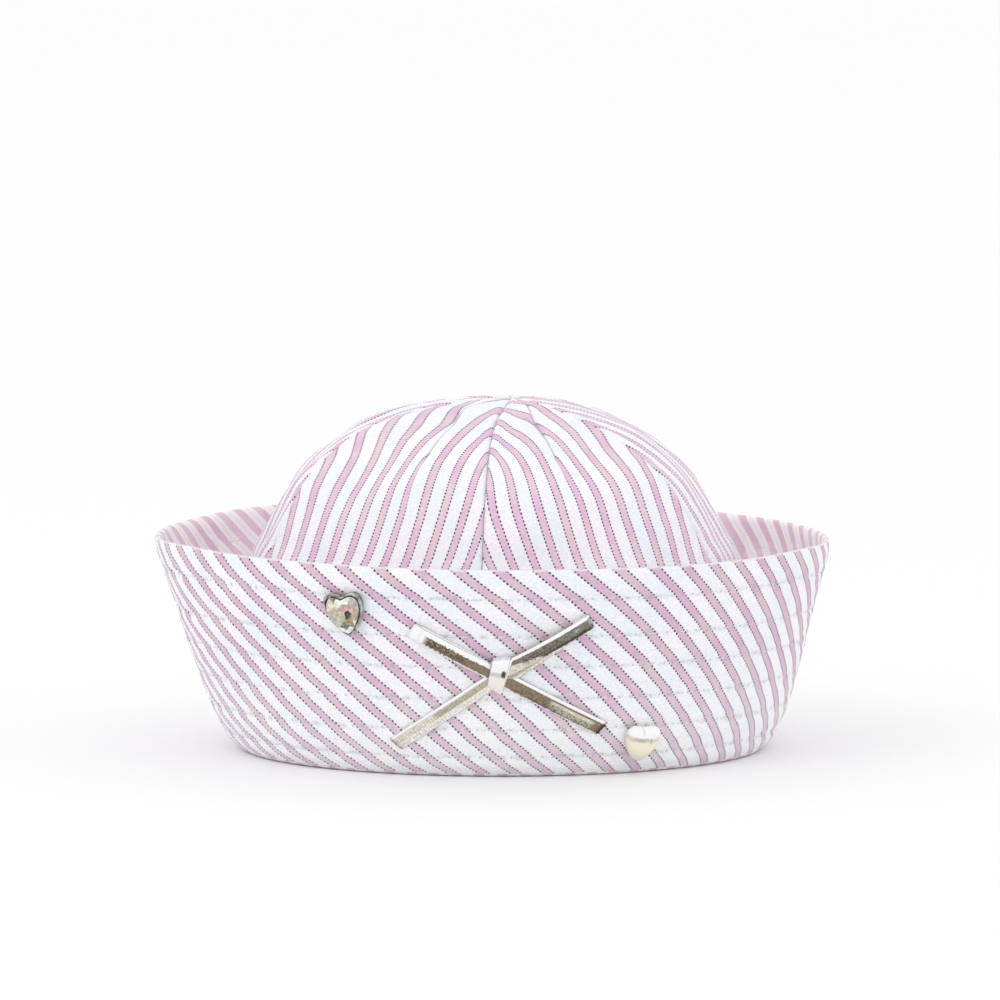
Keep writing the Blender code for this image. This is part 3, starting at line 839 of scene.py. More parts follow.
def cotton_material(name, settings, pink_shade, white_shade, is_facing=False, sewing=None):
    """The striped cotton's right side with rows of stitches or seams, or its wrong side on the facing."""
    material, tree, shader = new_material(
        name, roughness=0.85, specular_ior_level=0.25, sheen_weight=0.12, sheen_roughness=0.5
    )
    across, along = map_place(tree, "cloth")
    place = object_place(tree)
    patch = mapped(tree, noise(tree, place, 75.0), 0.38, 0.62)
    cloud = mapped(tree, noise(tree, place, 52.0), 0.42, 0.60)
    weave = place_group(tree, "plain_weave", across=across, along=along, yarn=settings.yarn)
    if is_facing:
        stripe = mixed(tree, patch, rgba(settings.facing_pink), rgba(settings.facing_pink, 1.12))
        looks = {"stripe_share": FACING_STRIPE_SHARE, "between_share": FACING_BETWEEN_SHARE}
        ground, between, dash = rgba(settings.facing_white), rgba(settings.facing_pale), stripe
    else:
        stripe = mixed(tree, patch, rgba(settings.pink, pink_shade), rgba(settings.lilac, pink_shade))
        looks = {"stripe_share": settings.pink_share, "between_share": NO_STRIPE}
        ground = mixed(tree, cloud, rgba(settings.white, white_shade), rgba(settings.cool, white_shade))
        if sewing == "rows":
            # Painted light: the cuff's stripes and ground are made paler towards its foot
            low = mapped(tree, object_height(tree), PAINTED_LIGHT_FROM, PAINTED_LIGHT_BELOW)
            stripe = mixed(tree, times(tree, low, LOW_STRIPE_PAINTED_LIGHT), stripe, rgba(settings.white))
            ground = mixed(tree, times(tree, low, LOW_GROUND_PAINTED_LIGHT), ground, rgba(settings.faded))
        between = ground
        worn = mapped(tree, noise(tree, place, 900.0), 0.4, 0.65, 0.0, 0.3)
        dash = mixed(tree, worn, rgba(settings.dash), stripe)
    stripes = place_group(
        tree,
        "striped_cotton",
        across=across,
        along=along,
        pitch=settings.pitch,
        dash_spacing=settings.dash_spacing,
        dash_length=NO_DASH if is_facing else settings.dash_length,
        dash_width=NO_DASH if is_facing else settings.dash_width,
        ground=ground,
        stripe=stripe,
        between=between,
        dash=dash,
        **looks,
    )
    fleck = mapped(tree, weave["Fleck"], 0.0, 1.0, 0.93, 1.06)
    colour = add_mix(tree, "MULTIPLY", 1.0, stripes["Color"], fleck)
    height = weave["Height"]
    if sewing == "rows":
        round_cuff, off_row = map_place(tree, "sewing")
        needle = place_group(
            tree,
            "needle_row",
            along=round_cuff,
            off_row=off_row,
            stitch=settings.stitch,
            hole=NEEDLE_HOLE,
            valley=NEEDLE_VALLEY,
        )
        # Painted shade: the cloth is darkened in patches in the valleys by the rows of stitches, and in the
        # needle holes
        pucker_shade = mapped(tree, noise(tree, place, 330.0), 0.42, 0.64, 0.0, 0.34)
        pucker_shade = times(tree, pucker_shade, needle["Valley mask"])
        darker = maths(tree, "MAXIMUM", pucker_shade, times(tree, needle["Hole mask"], 0.6))
        colour = mixed(tree, darker, colour, rgba(settings.shade))
        # Painted highlight: the cloth is whitened along the rim, where it turns over
        turned = mapped(tree, off_row, RIM_HIGHLIGHT_FROM, RIM_HIGHLIGHT_TO, 0.0, 0.5)
        colour = mixed(tree, turned, colour, rgba(settings.white))
        height = minus(tree, height, times(tree, needle["Hole mask"], 4.0))
    elif sewing == "seams":
        off_dart, off_seam = map_place(tree, "seams")
        off = maths(tree, "MINIMUM", maths(tree, "ABSOLUTE", off_dart), off_seam)
        # Painted shade: a thin dark line along each seam and dart
        darker = mapped(tree, off, 0.45 * MM, 0.05 * MM, 0.0, 0.6)
        colour = mixed(tree, darker, colour, rgba(settings.shade))
    tree.links.new(colour, shader.inputs["Base Color"])
    bump(tree, shader, height, 0.06 * MM, 0.7)
    return material


def thread_material(settings):
    """Twisted cotton thread."""
    material, tree, shader = new_material(
        "sewing_thread", roughness=0.6, specular_ior_level=0.35, sheen_weight=0.2
    )
    place = object_place(tree)
    shade = mapped(tree, noise(tree, place, 500.0), 0.3, 0.7)
    colour = mixed(tree, shade, rgba(settings.thread), rgba(settings.thread, 0.8))
    tree.links.new(colour, shader.inputs["Base Color"])
    bump(tree, shader, noise(tree, place, 4000.0), 0.05 * MM, 0.5)
    return material


def make_groups():
    """The shader groups that the materials share."""
    make_stripe_group()
    make_weave_group()
    make_needle_group()
    make_band_group()


# Cuff


def cuff_section():
    """The cuff's closed section as (radius, height) rows, and where its outer wall and its rim end."""
    outer_heights = np.linspace(OUTER_WALL_FROM, CUFF_HEIGHT - RIM_ROUNDING, OUTER_POINTS)
    outer = np.stack([wall_radius(outer_heights), outer_heights], axis=-1)
    turns = np.linspace(0, math.pi, RIM_POINTS)[1:-1]
    half = 0.5 * CUFF_WALL
    rim_radius = wall_radius(CUFF_HEIGHT) - half
    rim = np.stack(
        [rim_radius + half * np.cos(turns), CUFF_HEIGHT - RIM_ROUNDING * (1 - np.sin(turns))], axis=-1
    )
    inner_heights = np.linspace(CUFF_HEIGHT - RIM_ROUNDING, INNER_WALL_DOWN_TO, INNER_POINTS)
    inner = np.stack([wall_radius(inner_heights) - CUFF_WALL, inner_heights], axis=-1)
    foot = smooth_rows(TROUGH_AND_FOOT, np.linspace(0, len(TROUGH_AND_FOOT) - 1, FOOT_POINTS))
    return np.concatenate([outer, rim, inner, foot]), len(outer) + len(rim) // 2


def off_nearest_row(height):
    """The distance up from the nearest row of stitches."""
    gaps = height[..., None] - np.array(STITCH_ROW_HEIGHTS)
    nearest = np.abs(gaps).argmin(axis=-1)
    return np.take_along_axis(gaps, nearest[..., None], axis=-1)[..., 0]


def quilting(height, puff):
    """How far the cloth swells between two rows of stitches, with a narrow valley at each row."""
    stops = np.array((0.0,) + STITCH_ROW_HEIGHTS + (CUFF_HEIGHT,))
    index = np.clip(np.searchsorted(stops, height) - 1, 0, len(stops) - 2)
    part = (height - stops[index]) / (stops[index + 1] - stops[index])
    return puff * (np.clip(4 * part * (1 - part), 0, 1) ** 0.5 - 0.5)


def cuff_swell(settings, angle, height, slant, is_inside):
    """How far the cuff's surface stands off its plain wall: puffs, puckers and long soft waves."""
    on_wall = ease((height - RELIEF_FROM) / RELIEF_RISE) * ease((CUFF_HEIGHT - height) / RELIEF_END)
    round_cuff = angle * CUFF_MEAN_RADIUS
    near_row = 0.3 + bump_at(off_nearest_row(height), PUCKER_REACH)
    pucker = settings.pucker * near_row * ripples(round_cuff, 0.5 * slant, PUCKER_LENGTH, seed=3)
    waves = CUFF_WAVE * ripples(round_cuff, slant, CUFF_WAVE_LENGTH, seed=8)
    side = np.where(is_inside, -1.0, 1.0)
    return on_wall * (quilting(height, settings.puff) + pucker + side * waves)


def cuff_stripes_passed(angle, slant):
    """The outer cloth's stripes passed at an angle and a distance below the rim."""
    pitch = math.tau * CUFF_MEAN_RADIUS / CUFF_STRIPES
    plain = (angle * CUFF_MEAN_RADIUS - CUFF_FIRST_STRIPE - CUFF_BIAS * slant) / pitch
    degrees = np.degrees(angle)
    part = slant / CUFF_HEIGHT
    eased = EASED_STRIPES_AT_RIM + (EASED_STRIPES_AT_FOOT - EASED_STRIPES_AT_RIM) * ease(part)
    gained = ease((degrees - EASE_FROM_DEGREES) / (EASE_TO_DEGREES - EASE_FROM_DEGREES))
    given_back = ease((degrees - GIVEN_BACK_FROM_DEGREES) / GIVEN_BACK_OVER_DEGREES)
    at_front = bump_at(degrees - SAG_MIDDLE_DEGREES, SAG_WIDTH_DEGREES)
    sag = STRIPE_SAG * np.sin(math.pi * np.clip(part * SAG_STRETCH, 0, 1)) * at_front
    arch = quilting(CUFF_HEIGHT - slant, STRIPE_ARCH)
    return plain + eased * (gained - given_back) - sag + arch


def cuff_cloth(settings, angles, slants, is_inside):
    """Each point's place on the flat cloth: outside the bias strip, inside the facing's wrong side."""
    angle, slant, inside = angles[None, :], slants[:, None], is_inside[:, None]
    round_cuff = angle * CUFF_MEAN_RADIUS
    lean_length = math.hypot(1.0, CUFF_BIAS)
    shrink = settings.pitch / (math.tau * CUFF_MEAN_RADIUS / CUFF_STRIPES / lean_length)
    turned = np.degrees(angle) - FACING_FIRST_DEGREES + FACING_BIAS_DEGREES_PER_MM * slant / MM
    facing = turned * FACING_STRIPES / 360
    count = np.where(inside, facing, cuff_stripes_passed(angle, slant))
    along = np.where(inside, round_cuff - slant, (CUFF_BIAS * round_cuff + slant) / lean_length * shrink)
    return np.stack([count * settings.pitch, along], axis=-1)


class CAP_OT_cuff(bpy.types.Operator):
    """Make the turned-up cuff as one quilted strip of cloth with its facing"""

    bl_idname = "cap.cuff"
    bl_label = "Cuff"

    segments: IntProperty(
        name="Segments", description="Steps round the cuff", default=600, min=64, max=1200
    )

    def execute(self, context):
        settings = context.scene.cap_cloth
        section, rim_row = cuff_section()
        ahead = np.roll(section, -1, axis=0) - np.roll(section, 1, axis=0)
        normal = unit(np.stack([ahead[:, 1], -ahead[:, 0]], axis=-1))
        steps = np.linalg.norm(np.diff(section, axis=0), axis=1)
        along = np.concatenate([[0.0], np.cumsum(steps)])
        slants = np.abs(along[rim_row] - along)
        is_inside = np.arange(len(section)) >= rim_row
        angles = np.linspace(-math.pi, math.pi, self.segments + 1)
        radius, height, slant = section[:, :1], section[:, 1:], slants[:, None]
        angle = angles[None, :-1]
        swell = cuff_swell(settings, angle, height, slant, is_inside[:, None])
        points = cuff_place(angle, radius + swell * normal[:, :1], height + swell * normal[:, 1:])
        cloth = cuff_cloth(settings, angles, slants, is_inside)
        round_cuff = np.broadcast_to(angles[None, :] * CUFF_MEAN_RADIUS, cloth.shape[:2])
        sewing = np.stack([round_cuff, off_nearest_row(height + 0 * round_cuff)], axis=-1)
        cloth, sewing = (np.concatenate([places, places[-1:]]) for places in (cloth, sewing))
        mesh = sheet_mesh("cuff_cloth", points, wrap_columns=True, wrap_rows=True, cloth=cloth, sewing=sewing)
        materials = (
            cotton_material("striped_cotton_cuff", settings, 0.95, 1.02, sewing="rows"),
            cotton_material("striped_cotton_facing", settings, 1.0, 1.0, is_facing=True),
        )
        piece = add_piece("cuff_cloth", mesh, materials, "striped_cotton", "cuff")
        inside_faces = np.repeat(is_inside, self.segments).astype(np.int32)
        mesh.polygons.foreach_set("material_index", inside_faces)
        return {"FINISHED"}


# Stitches


def stitch_mesh(name, starts, ends, outs, radius):
    """One mesh of thread stitches, each a capsule that dips into the cloth at both ends."""
    sides, stations = STITCH_CORNERS, STITCH_STATIONS
    part = np.linspace(0, 1, stations)[None, :, None]
    centre = starts[:, None] * (1 - part) + ends[:, None] * part
    arch = np.sin(math.pi * part) ** 0.6
    centre = centre + outs[:, None] * radius * (STITCH_RISE * arch - STITCH_END_DEPTH)
    along = unit(ends - starts)[:, None]
    across = np.cross(outs[:, None], along)
    up = np.cross(along, across)
    turn = (math.tau * np.arange(sides) / sides)[None, None, :, None]
    width = radius * (STITCH_END_WIDTH + (1 - STITCH_END_WIDTH) * arch)[:, :, None]
    points = centre[:, :, None] + width * (
        np.cos(turn) * across[:, :, None] + np.sin(turn) * up[:, :, None]
    )
    count = len(starts)
    stitch = np.arange(count)[:, None, None] * stations * sides
    station = np.arange(stations - 1)[None, :, None] * sides
    side = np.arange(sides)[None, None, :]
    after = (side + 1) % sides
    quads = np.stack(
        [stitch + station + side, stitch + station + sides + side]
        + [stitch + station + sides + after, stitch + station + after],
        axis=-1,
    )
    mesh = bpy.data.meshes.new(name)
    faces = quads.reshape(-1, 4)[:, ::-1].tolist()
    first = (np.arange(count) * stations * sides)[:, None]
    last = first + (stations - 1) * sides
    faces += (first + np.arange(sides)[None, :]).tolist()
    faces += (last + np.arange(sides)[None, ::-1]).tolist()
    mesh.from_pydata(points.reshape(-1, 3).tolist(), [], faces)
    mesh.shade_smooth()
    return mesh


class CAP_OT_stitches(bpy.types.Operator):
    """Sew the rows of stitches round the cuff, outside and inside"""

    bl_idname = "cap.stitches"
    bl_label = "Cuff stitches"

    def execute(self, context):
        settings = context.scene.cap_cloth
        material = thread_material(settings)
        for name, is_inside in (("stitches_outside", False), ("stitches_inside", True)):
            rows = [self.sew_row(settings, height, is_inside) for height in STITCH_ROW_HEIGHTS]
            starts, ends, outs = (np.concatenate(part) for part in zip(*rows))
            mesh = stitch_mesh(name, starts, ends, outs, settings.thread_radius)
            add_piece(name, mesh, [material], "striped_cotton")
        return {"FINISHED"}

    def sew_row(self, settings, height, is_inside):
        """Start, end and outward direction of each stitch in a row."""
        count = round(math.tau * CUFF_MEAN_RADIUS / settings.stitch)
        first = -count // 2 * settings.stitch
        hole = (first + settings.stitch * np.arange(count)) / CUFF_MEAN_RADIUS
        inset = STITCH_INSET * settings.stitch / CUFF_MEAN_RADIUS
        reach = (settings.stitch / CUFF_MEAN_RADIUS) - inset
        side = -1.0 if is_inside else 1.0
        at = np.full(count, height)
        slant = CUFF_HEIGHT - at

        def skin(angle):
            swell = cuff_swell(settings, angle, at, slant, np.full(count, is_inside))
            wall = wall_radius(at) - (CUFF_WALL if is_inside else 0.0)
            return cuff_place(angle, wall + side * swell, at)

        starts, ends = skin(hole + inset), skin(hole + reach)
        middle = hole + 0.5 * (inset + reach)
        outs = side * np.stack([np.sin(middle), -np.cos(middle), np.zeros(count)], axis=-1)
        return starts, ends, outs


# Crown


def crown_ring(places):
    """The crown's height, radius and shift; places run from 0 at the foot seam to 1 at the top."""
    rings = smooth_rows(CROWN_RINGS, places * (len(CROWN_RINGS) - 1))
    return rings[..., 0], rings[..., 1], rings[..., 2]


def crown_reach(angle, height):
    """The crown's reach at an angle, as a share of its radius: round at the foot and squarish above."""
    power = 2 + CROWN_SQUARENESS * np.minimum(height / SQUARE_ABOVE, 1.0)
    return (np.abs(np.sin(angle)) ** power + np.abs(np.cos(angle)) ** power) ** (-1 / power)


def crowded(count, crowds, width, weight):
    """Places from 0 to 1 that crowd round the given ones, where seams and darts need fine cloth."""
    fine = np.linspace(0, 1, 4000)
    density = 1 + sum(weight * bump_at(fine - place, width) for place in crowds)
    total = np.concatenate([[0.0], np.cumsum(0.5 * (density[1:] + density[:-1]))])
    return np.interp(np.linspace(0, total[-1], count), total, fine)


def gore_lines(gore, places):
    """Angles in degrees of a gore's front seam, dart and back seam at each place up the crown."""
    start = gore.foot_from + places**3 * (gore.top_from - gore.foot_from)
    end = gore.foot_to + places**3 * (gore.top_to - gore.foot_to)
    bent = ease((places - DART_BEND) / (1 - DART_BEND))
    return start, gore.dart + bent * (gore.dart_top - gore.dart), end


def stripes_passed(gore, places, degrees, past_dart, distances, settings):
    """Stripes passed at each point of a gore, with and without the cloth that its dart takes up."""
    start, dart, end = (line[:, None] for line in gore_lines(gore, places))
    if gore.name not in FRONT_STRIPES:
        middle = [np.interp(at, turned, far) for at, turned, far in zip(dart[:, 0], degrees, distances)]
        plain = (distances - np.array(middle)[:, None]) / settings.pitch - GRAIN_STRIPES[gore.name]
        take_up = DART_TAKE_UP * ease((places - TAKE_UP_FROM) / TAKE_UP_OVER)[:, None] * (past_dart - 0.5)
        return plain + take_up / settings.pitch, plain
    table = np.array(FRONT_STRIPES[gore.name])
    first, step = table[0, 0], table[1, 0] - table[0, 0]
    rows = smooth_rows(table[:, 1:], np.clip((places - first) / step, 0, len(table) - 1))
    seam, near, far, half_way, side = (rows[:, column : column + 1] for column in range(5))
    seam_line, side_line, is_far = start, end, past_dart
    if gore.name == "front_left":
        seam_line, side_line, is_far = end, start, 1 - past_dart
    near_count = seam + (near - seam) * (degrees - seam_line) / (dart - seam_line)
    part = (degrees - dart) / (side_line - dart)
    far_count = (
        far * (1 - part) * (1 - 2 * part) + half_way * 4 * part * (1 - part) + side * part * (2 * part - 1)
    )
    counts = near_count + is_far * (far_count - near_count)
    return counts, counts - is_far * (far - near)


def sewn_relief(distance, sewn):
    """How far the cloth stands off at a distance from a seam or dart."""
    valley = sewn.valley * bump_at(distance, sewn.valley_width)
    return sewn.ridge * bump_at(distance - sewn.ridge_off, sewn.ridge_width) - valley


def along_stripes(points, across, reference):
    """Distance along the stripes: up the gore at its reference column, turned with them elsewhere."""
    steps = np.diff(points, axis=1)
    widths = np.linalg.norm(steps, axis=2)
    right = unit(np.gradient(points, axis=1))
    rise = np.gradient(points, axis=0)
    shear = (rise * right).sum(axis=2)
    tall = np.linalg.norm(rise - shear[..., None] * right, axis=2)
    column_width = np.maximum(np.linalg.norm(np.gradient(points, axis=1), axis=2), 0.02 * MM)
    slope_right = np.gradient(across, axis=1) / column_width
    slope_up = (np.gradient(across, axis=0) - shear * slope_right) / np.maximum(tall, 0.02 * MM)
    turn = np.clip(-slope_up, -STEEPEST_TURN, STEEPEST_TURN)
    run = np.cumsum(0.5 * (turn[:, 1:] + turn[:, :-1]) * widths, axis=1)
    run = np.concatenate([np.zeros((len(run), 1)), run], axis=1)
    up_steps = np.linalg.norm(np.diff(points[:, reference], axis=0), axis=1)
    up = np.concatenate([[0.0], np.cumsum(up_steps)])
    return up[:, None] + run - run[:, reference : reference + 1]


class CAP_OT_crown(bpy.types.Operator):
    """Make the crown's six gores, each with its edges turned in at the seams and its dart"""

    bl_idname = "cap.crown"
    bl_label = "Crown gores"

    columns: IntProperty(name="Columns", description="Points across a gore", default=110, min=24, max=200)
    rows: IntProperty(name="Rows", description="Points up a gore", default=130, min=24, max=300)

    def execute(self, context):
        settings = context.scene.cap_cloth
        outer = cotton_material("striped_cotton_crown", settings, 1.07, 1.03, sewing="seams")
        inner = bpy.data.materials["striped_cotton_facing"]
        for number, gore in enumerate(GORES):
            points, cloth, seams = self.lay_gore(gore, number, settings)
            mesh = sheet_mesh("gore_" + gore.name, points, cloth=cloth, seams=seams)
            piece = add_piece(
                "gore_" + gore.name, mesh, (outer, inner), "striped_cotton", "crown_gore_" + gore.name
            )
            solidify(piece, CROWN_CLOTH, inner_material=1)
        return {"FINISHED"}

    def lay_gore(self, gore, number, settings):
        """The gore's points on the crown, and each point's place on the flat cloth."""
        places = crowded(self.rows, (1.0,), 0.25, 0.8)
        height, radius, shift = (values[:, None] for values in crown_ring(places))
        start, dart, end = (line[:, None] for line in gore_lines(gore, places))
        columns = crowded(self.columns, (0.0, 0.5, 1.0), 0.05, 4.0)[None, :]
        degrees = np.where(
            columns < 0.5,
            start + 2 * columns * (dart - start),
            dart + (2 * columns - 1) * (end - dart),
        )
        angles = np.radians(degrees)
        reach = radius * crown_reach(angles, height)
        x, y = reach * np.sin(angles), -reach * np.cos(angles)
        steps = np.hypot(np.diff(x, axis=1), np.diff(y, axis=1))
        distances = np.concatenate([np.zeros((self.rows, 1)), np.cumsum(steps, axis=1)], axis=1)
        past_dart = np.broadcast_to((columns > 0.5).astype(float), degrees.shape)
        dart_at = np.array([np.interp(0.5, columns[0], row) for row in distances])[:, None]
        from_dart = distances - dart_at
        from_seam = np.minimum(distances, distances[:, -1:] - distances)
        push = self.swell(settings, number, places, distances, from_dart, from_seam, radius)
        slope_out, slope_up = np.gradient(radius[:, 0], places), np.gradient(height[:, 0], places)
        length = np.hypot(slope_out, slope_up)
        out, rise = (slope_up / length)[:, None], (-slope_out / length)[:, None]
        reach = reach + push * out
        x, y = shift + reach * np.sin(angles), -reach * np.cos(angles)
        points = np.stack([x, y, height + push * rise], axis=-1)
        counts, whole = stripes_passed(gore, places, degrees, past_dart, distances, settings)
        sign = -1 if gore.name == "front_left" else 1
        reference = self.columns // 2 + sign * REFERENCE_COLUMNS
        along = along_stripes(points, sign * whole * settings.pitch, reference)
        seams = np.stack([from_dart / np.maximum(self.opened(places), 0.01), from_seam], axis=-1)
        return points, np.stack([counts * settings.pitch, along], axis=-1), seams

    def opened(self, places):
        """The dart's opening up the crown, from 0 to 1."""
        opens = ease((places - DART_START) / DART_OPENS_OVER)
        return (opens * ease((1.0 - places) / DART_CLOSES_OVER))[:, None]

    def swell(self, settings, number, places, distances, from_dart, from_seam, radius):
        """How far the gore stands off the plain crown: edges, dart and soft creases."""
        narrow = np.minimum(radius / NARROW_BELOW, 1.0)
        edge, dart = sewn_relief(from_seam, SEAM_RELIEF), sewn_relief(from_dart, DART_RELIEF)
        up = places[:, None] * CROWN_LENGTH
        soft = ripples(distances, 0.6 * up, SOFT_CREASE_LENGTH, seed=20 + number)
        fine = ripples(distances, up, FINE_CREASE_LENGTH, seed=40 + number)
        calm = ease((1 - places) / CALM_TOP_SHARE)[:, None]
        beside = bump_at(from_seam - SEAM_PUCKER_OFF, SEAM_PUCKER_OFF)
        sewn = calm * beside * ripples(0.3 * distances, up, SEAM_PUCKER_LENGTH, seed=60)
        calm = calm * ease(from_seam / CALM_BY_SEAM)
        creases = calm * settings.crease * (soft + FINE_CREASE_SHARE * fine)
        puckers = SEAM_PUCKER_SHARE * settings.pucker * sewn
        return narrow * (edge + self.opened(places) * dart) + (creases + puckers)


# Bow


def arm_line(arm, part, over, drop=0.0):
    """A bow arm's centre over the wall at a part of its length, and its along, up and out directions."""
    root_x = KNOT_X + math.copysign(ARM_ROOT_X, arm.end_x - KNOT_X)
    run_x, run_height = arm.end_x - root_x, arm.end_height - arm.root_height

    def on_wall(at):
        fallen = drop * max(1 - at, 0.0) ** 0.8
        return wall_frame(root_x + at * run_x, arm.root_height + at * run_height - fallen)

    here = on_wall(part)
    out = here.to_3x3().col[2]
    ahead = on_wall(part + 0.02).to_translation() - on_wall(part - 0.02).to_translation()
    along = (ahead - out * ahead.dot(out)).normalized()
    up = out.cross(along)
    up *= math.copysign(1.0, up.z)
    return here.to_translation() + out * over, along, up, out


def strip_section(corners=20):
    """Points round a flattened tube: how far up its width and how far out of its thickness, from -1 to 1."""
    turns = math.tau * np.arange(corners) / corners
    across = np.sign(np.cos(turns)) * np.abs(np.cos(turns)) ** 0.7
    out = np.sign(np.sin(turns)) * np.abs(np.sin(turns)) ** 0.8
    return across, out


def tube_mesh(name, rings, cloth):
    """A closed tube through rings of points, its ends capped; cloth holds each corner's place."""
    mesh = sheet_mesh(name, rings, wrap_columns=True, cloth=cloth)
    made = bmesh.new()
    made.from_mesh(mesh)
    ends = [edge for edge in made.edges if edge.is_boundary]
    bmesh.ops.contextual_create(made, geom=[edge for edge in ends if edge.verts[0].index < rings.shape[1]])
    bmesh.ops.contextual_create(made, geom=[edge for edge in ends if edge.verts[0].index >= rings.shape[1]])
    bmesh.ops.recalc_face_normals(made, faces=made.faces)
    made.to_mesh(mesh)
    made.free()
    return mesh


class CAP_OT_bow(bpy.types.Operator):
    """Fold the flat silver tube into two loops and two tails"""

    bl_idname = "cap.bow"
    bl_label = "Bow loops and tails"

    def execute(self, context):
        settings = context.scene.cap_bow
        for arm in BOW_ARMS:
            mesh = self.arm_mesh(arm)
            label = arm.name.replace("bow", "foil")
            material = foil_material(label, settings, FOIL_BANDS[arm.name], arm.ribs)
            add_piece(arm.name + "_strip", mesh, [material], "silver_strip", arm.name)
        return {"FINISHED"}

    def arm_mesh(self, arm):
        """The arm's tube; cloth runs up its width from 0 to 1 and from its root at 0 to its end at 1."""
        across, thick = strip_section()
        rings, cloth = [], []
        for part, centre, along, up, out, turn in self.stations(arm):
            facing = out * math.cos(turn) - along * math.sin(turn)
            cut = along * (0.5 * arm.end_cut * max(0.0, part - (1 - CUT_OVER_SHARE)) / CUT_OVER_SHARE)
            ring = [
                centre
                + up * (0.5 * STRIP_WIDTH * side)
                + facing * (0.5 * STRIP_THICKNESS * depth)
                + cut * (side - 1)
                for side, depth in zip(across, thick)
            ]
            rings.append([tuple(point) for point in ring])
            cloth.append([(0.5 + 0.5 * side, part) for side in (*across, across[0])])
        return tube_mesh(arm.name + "_strip", np.array(rings), np.array(cloth))

    def stations(self, arm):
        """Stations out along a tail, or in along a loop's front, round its end and back under it."""
        low = SEAT_GAP + 0.5 * STRIP_THICKNESS
        parts = np.linspace(0.0, 1.0, ARM_STATIONS)
        if not arm.opening:
            return [(part, *arm_line(arm, part, low), 0.0) for part in parts]
        stations = []
        for part in parts:
            opening = LOOP_FOLD + (arm.opening - LOOP_FOLD) * math.sin(math.pi * part)
            stations.append((part, *arm_line(arm, part, low + opening), 0.0))
        centre, along, up, out = arm_line(arm, 1.0, low)
        swing = 0.5 * LOOP_FOLD
        for turn in np.linspace(0, math.pi, FOLD_STATIONS)[1:-1]:
            middle = centre + along * (swing * math.sin(turn)) + out * (swing * (1 + math.cos(turn)))
            stations.append((1 + FOLD_LENGTH_SHARE * turn / math.pi, middle, along, up, out, turn))
        for part in parts[::-1]:
            under = arm_line(arm, part, low, arm.under_drop)
            stations.append((2 + FOLD_LENGTH_SHARE - part, *under, math.pi))
        return stations


def make_band_group():
    """A band along a strip: its low and high edges at the root and end, and where it starts and stops."""
    group, given, result = new_group(
        "foil_band",
        ("Side", "Along", "Root low", "Root high", "End low", "End high", "Start", "Stop", "Soft"),
        ("Mask",),
    )
    soft = given["Soft"]

    def passed(value, edge):
        return maths(group, "SMOOTH_MIN", divided(group, minus(group, value, edge), soft), 1.0, 0.5)

    part = maths(group, "MINIMUM", given["Along"], 1.0)
    roots = [given["Root " + side] for side in ("low", "high")]
    ends = [given["End " + side] for side in ("low", "high")]
    low, high = (
        plus(group, root, times(group, part, minus(group, end, root))) for root, end in zip(roots, ends)
    )
    up = passed(given["Side"], low)
    down = passed(high, given["Side"])
    starts = passed(given["Along"], given["Start"])
    stops = passed(given["Stop"], given["Along"])
    mask = maths(group, "MINIMUM", maths(group, "MINIMUM", up, down), maths(group, "MINIMUM", starts, stops))
    group.links.new(maths(group, "MAXIMUM", mask, 0.0), result["Mask"])


def foil_material(name, settings, bands, ribs):
    """Crumpled silver foil with the bands that it mirrors, and fine ribs across the strip."""
    material, tree, shader = new_material(name, metallic=1.0, roughness=0.24)
    side, along = map_place(tree, "cloth")
    place = object_place(tree)
    crumple = minus(tree, noise(tree, place, 1300.0, 4.0), 0.5)
    wobble = times(tree, noise(tree, place, 350.0), 4.0)
    turns = times(tree, along, math.tau * RIBBED_LENGTH / RIB_SPACING)
    rib = maths(tree, "SINE", plus(tree, turns, wobble))
    colour = rgba(settings.silver)
    for band in (FoilBand(*row) for row in bands):
        level = plus(tree, side, times(tree, crumple, 2.0 * band.ragged))
        mask = place_group(
            tree,
            "foil_band",
            side=level,
            along=along,
            soft=0.05,
            **{label: getattr(band, label) for label in FoilBand._fields[1:-1]},
        )["Mask"]
        tone = getattr(settings, band.colour)
        # Painted reflection: each band's tone is made lighter and darker along the crumples and the ribs
        fleck = mapped(tree, plus(tree, crumple, times(tree, rib, 0.06 * ribs)), -0.12, 0.22)
        shade = mixed(tree, fleck, rgba(tone, 0.78), rgba(tone, 1.2))
        colour = mixed(tree, mask, colour, shade)
    tree.links.new(colour, shader.inputs["Base Color"])
    height = plus(tree, crumple, times(tree, rib, 0.25 * ribs))
    bump(tree, shader, height, settings.creases, 0.7)
    return material


def local_place(tree, place):
    """Millimetres in a stud's or knot's own frame: as one vector, and to its right, up and out."""
    node = tree.nodes.new("ShaderNodeMapping")
    node.vector_type = "TEXTURE"
    node.inputs["Location"].default_value = place.to_translation()
    node.inputs["Rotation"].default_value = place.to_euler()
    node.inputs["Scale"].default_value = (MM, MM, MM)
    tree.links.new(object_place(tree), node.inputs["Vector"])
    parts = tree.nodes.new("ShaderNodeSeparateXYZ")
    tree.links.new(node.outputs[0], parts.inputs[0])
    return node.outputs[0], *parts.outputs


def seat(x, height, tilt_degrees, over):
    """The frame of a stud or the knot on the cuff's wall."""
    tilt = Matrix.Rotation(math.radians(tilt_degrees), 4, "Z")
    return wall_frame(x, height) @ tilt @ Matrix.Translation((0, 0, over))


def window(tree, value, low, high, soft):
    """One between two values, and nothing outside them."""
    starts = mapped(tree, value, low - soft, low + soft)
    return times(tree, starts, mapped(tree, value, high + soft, high - soft))


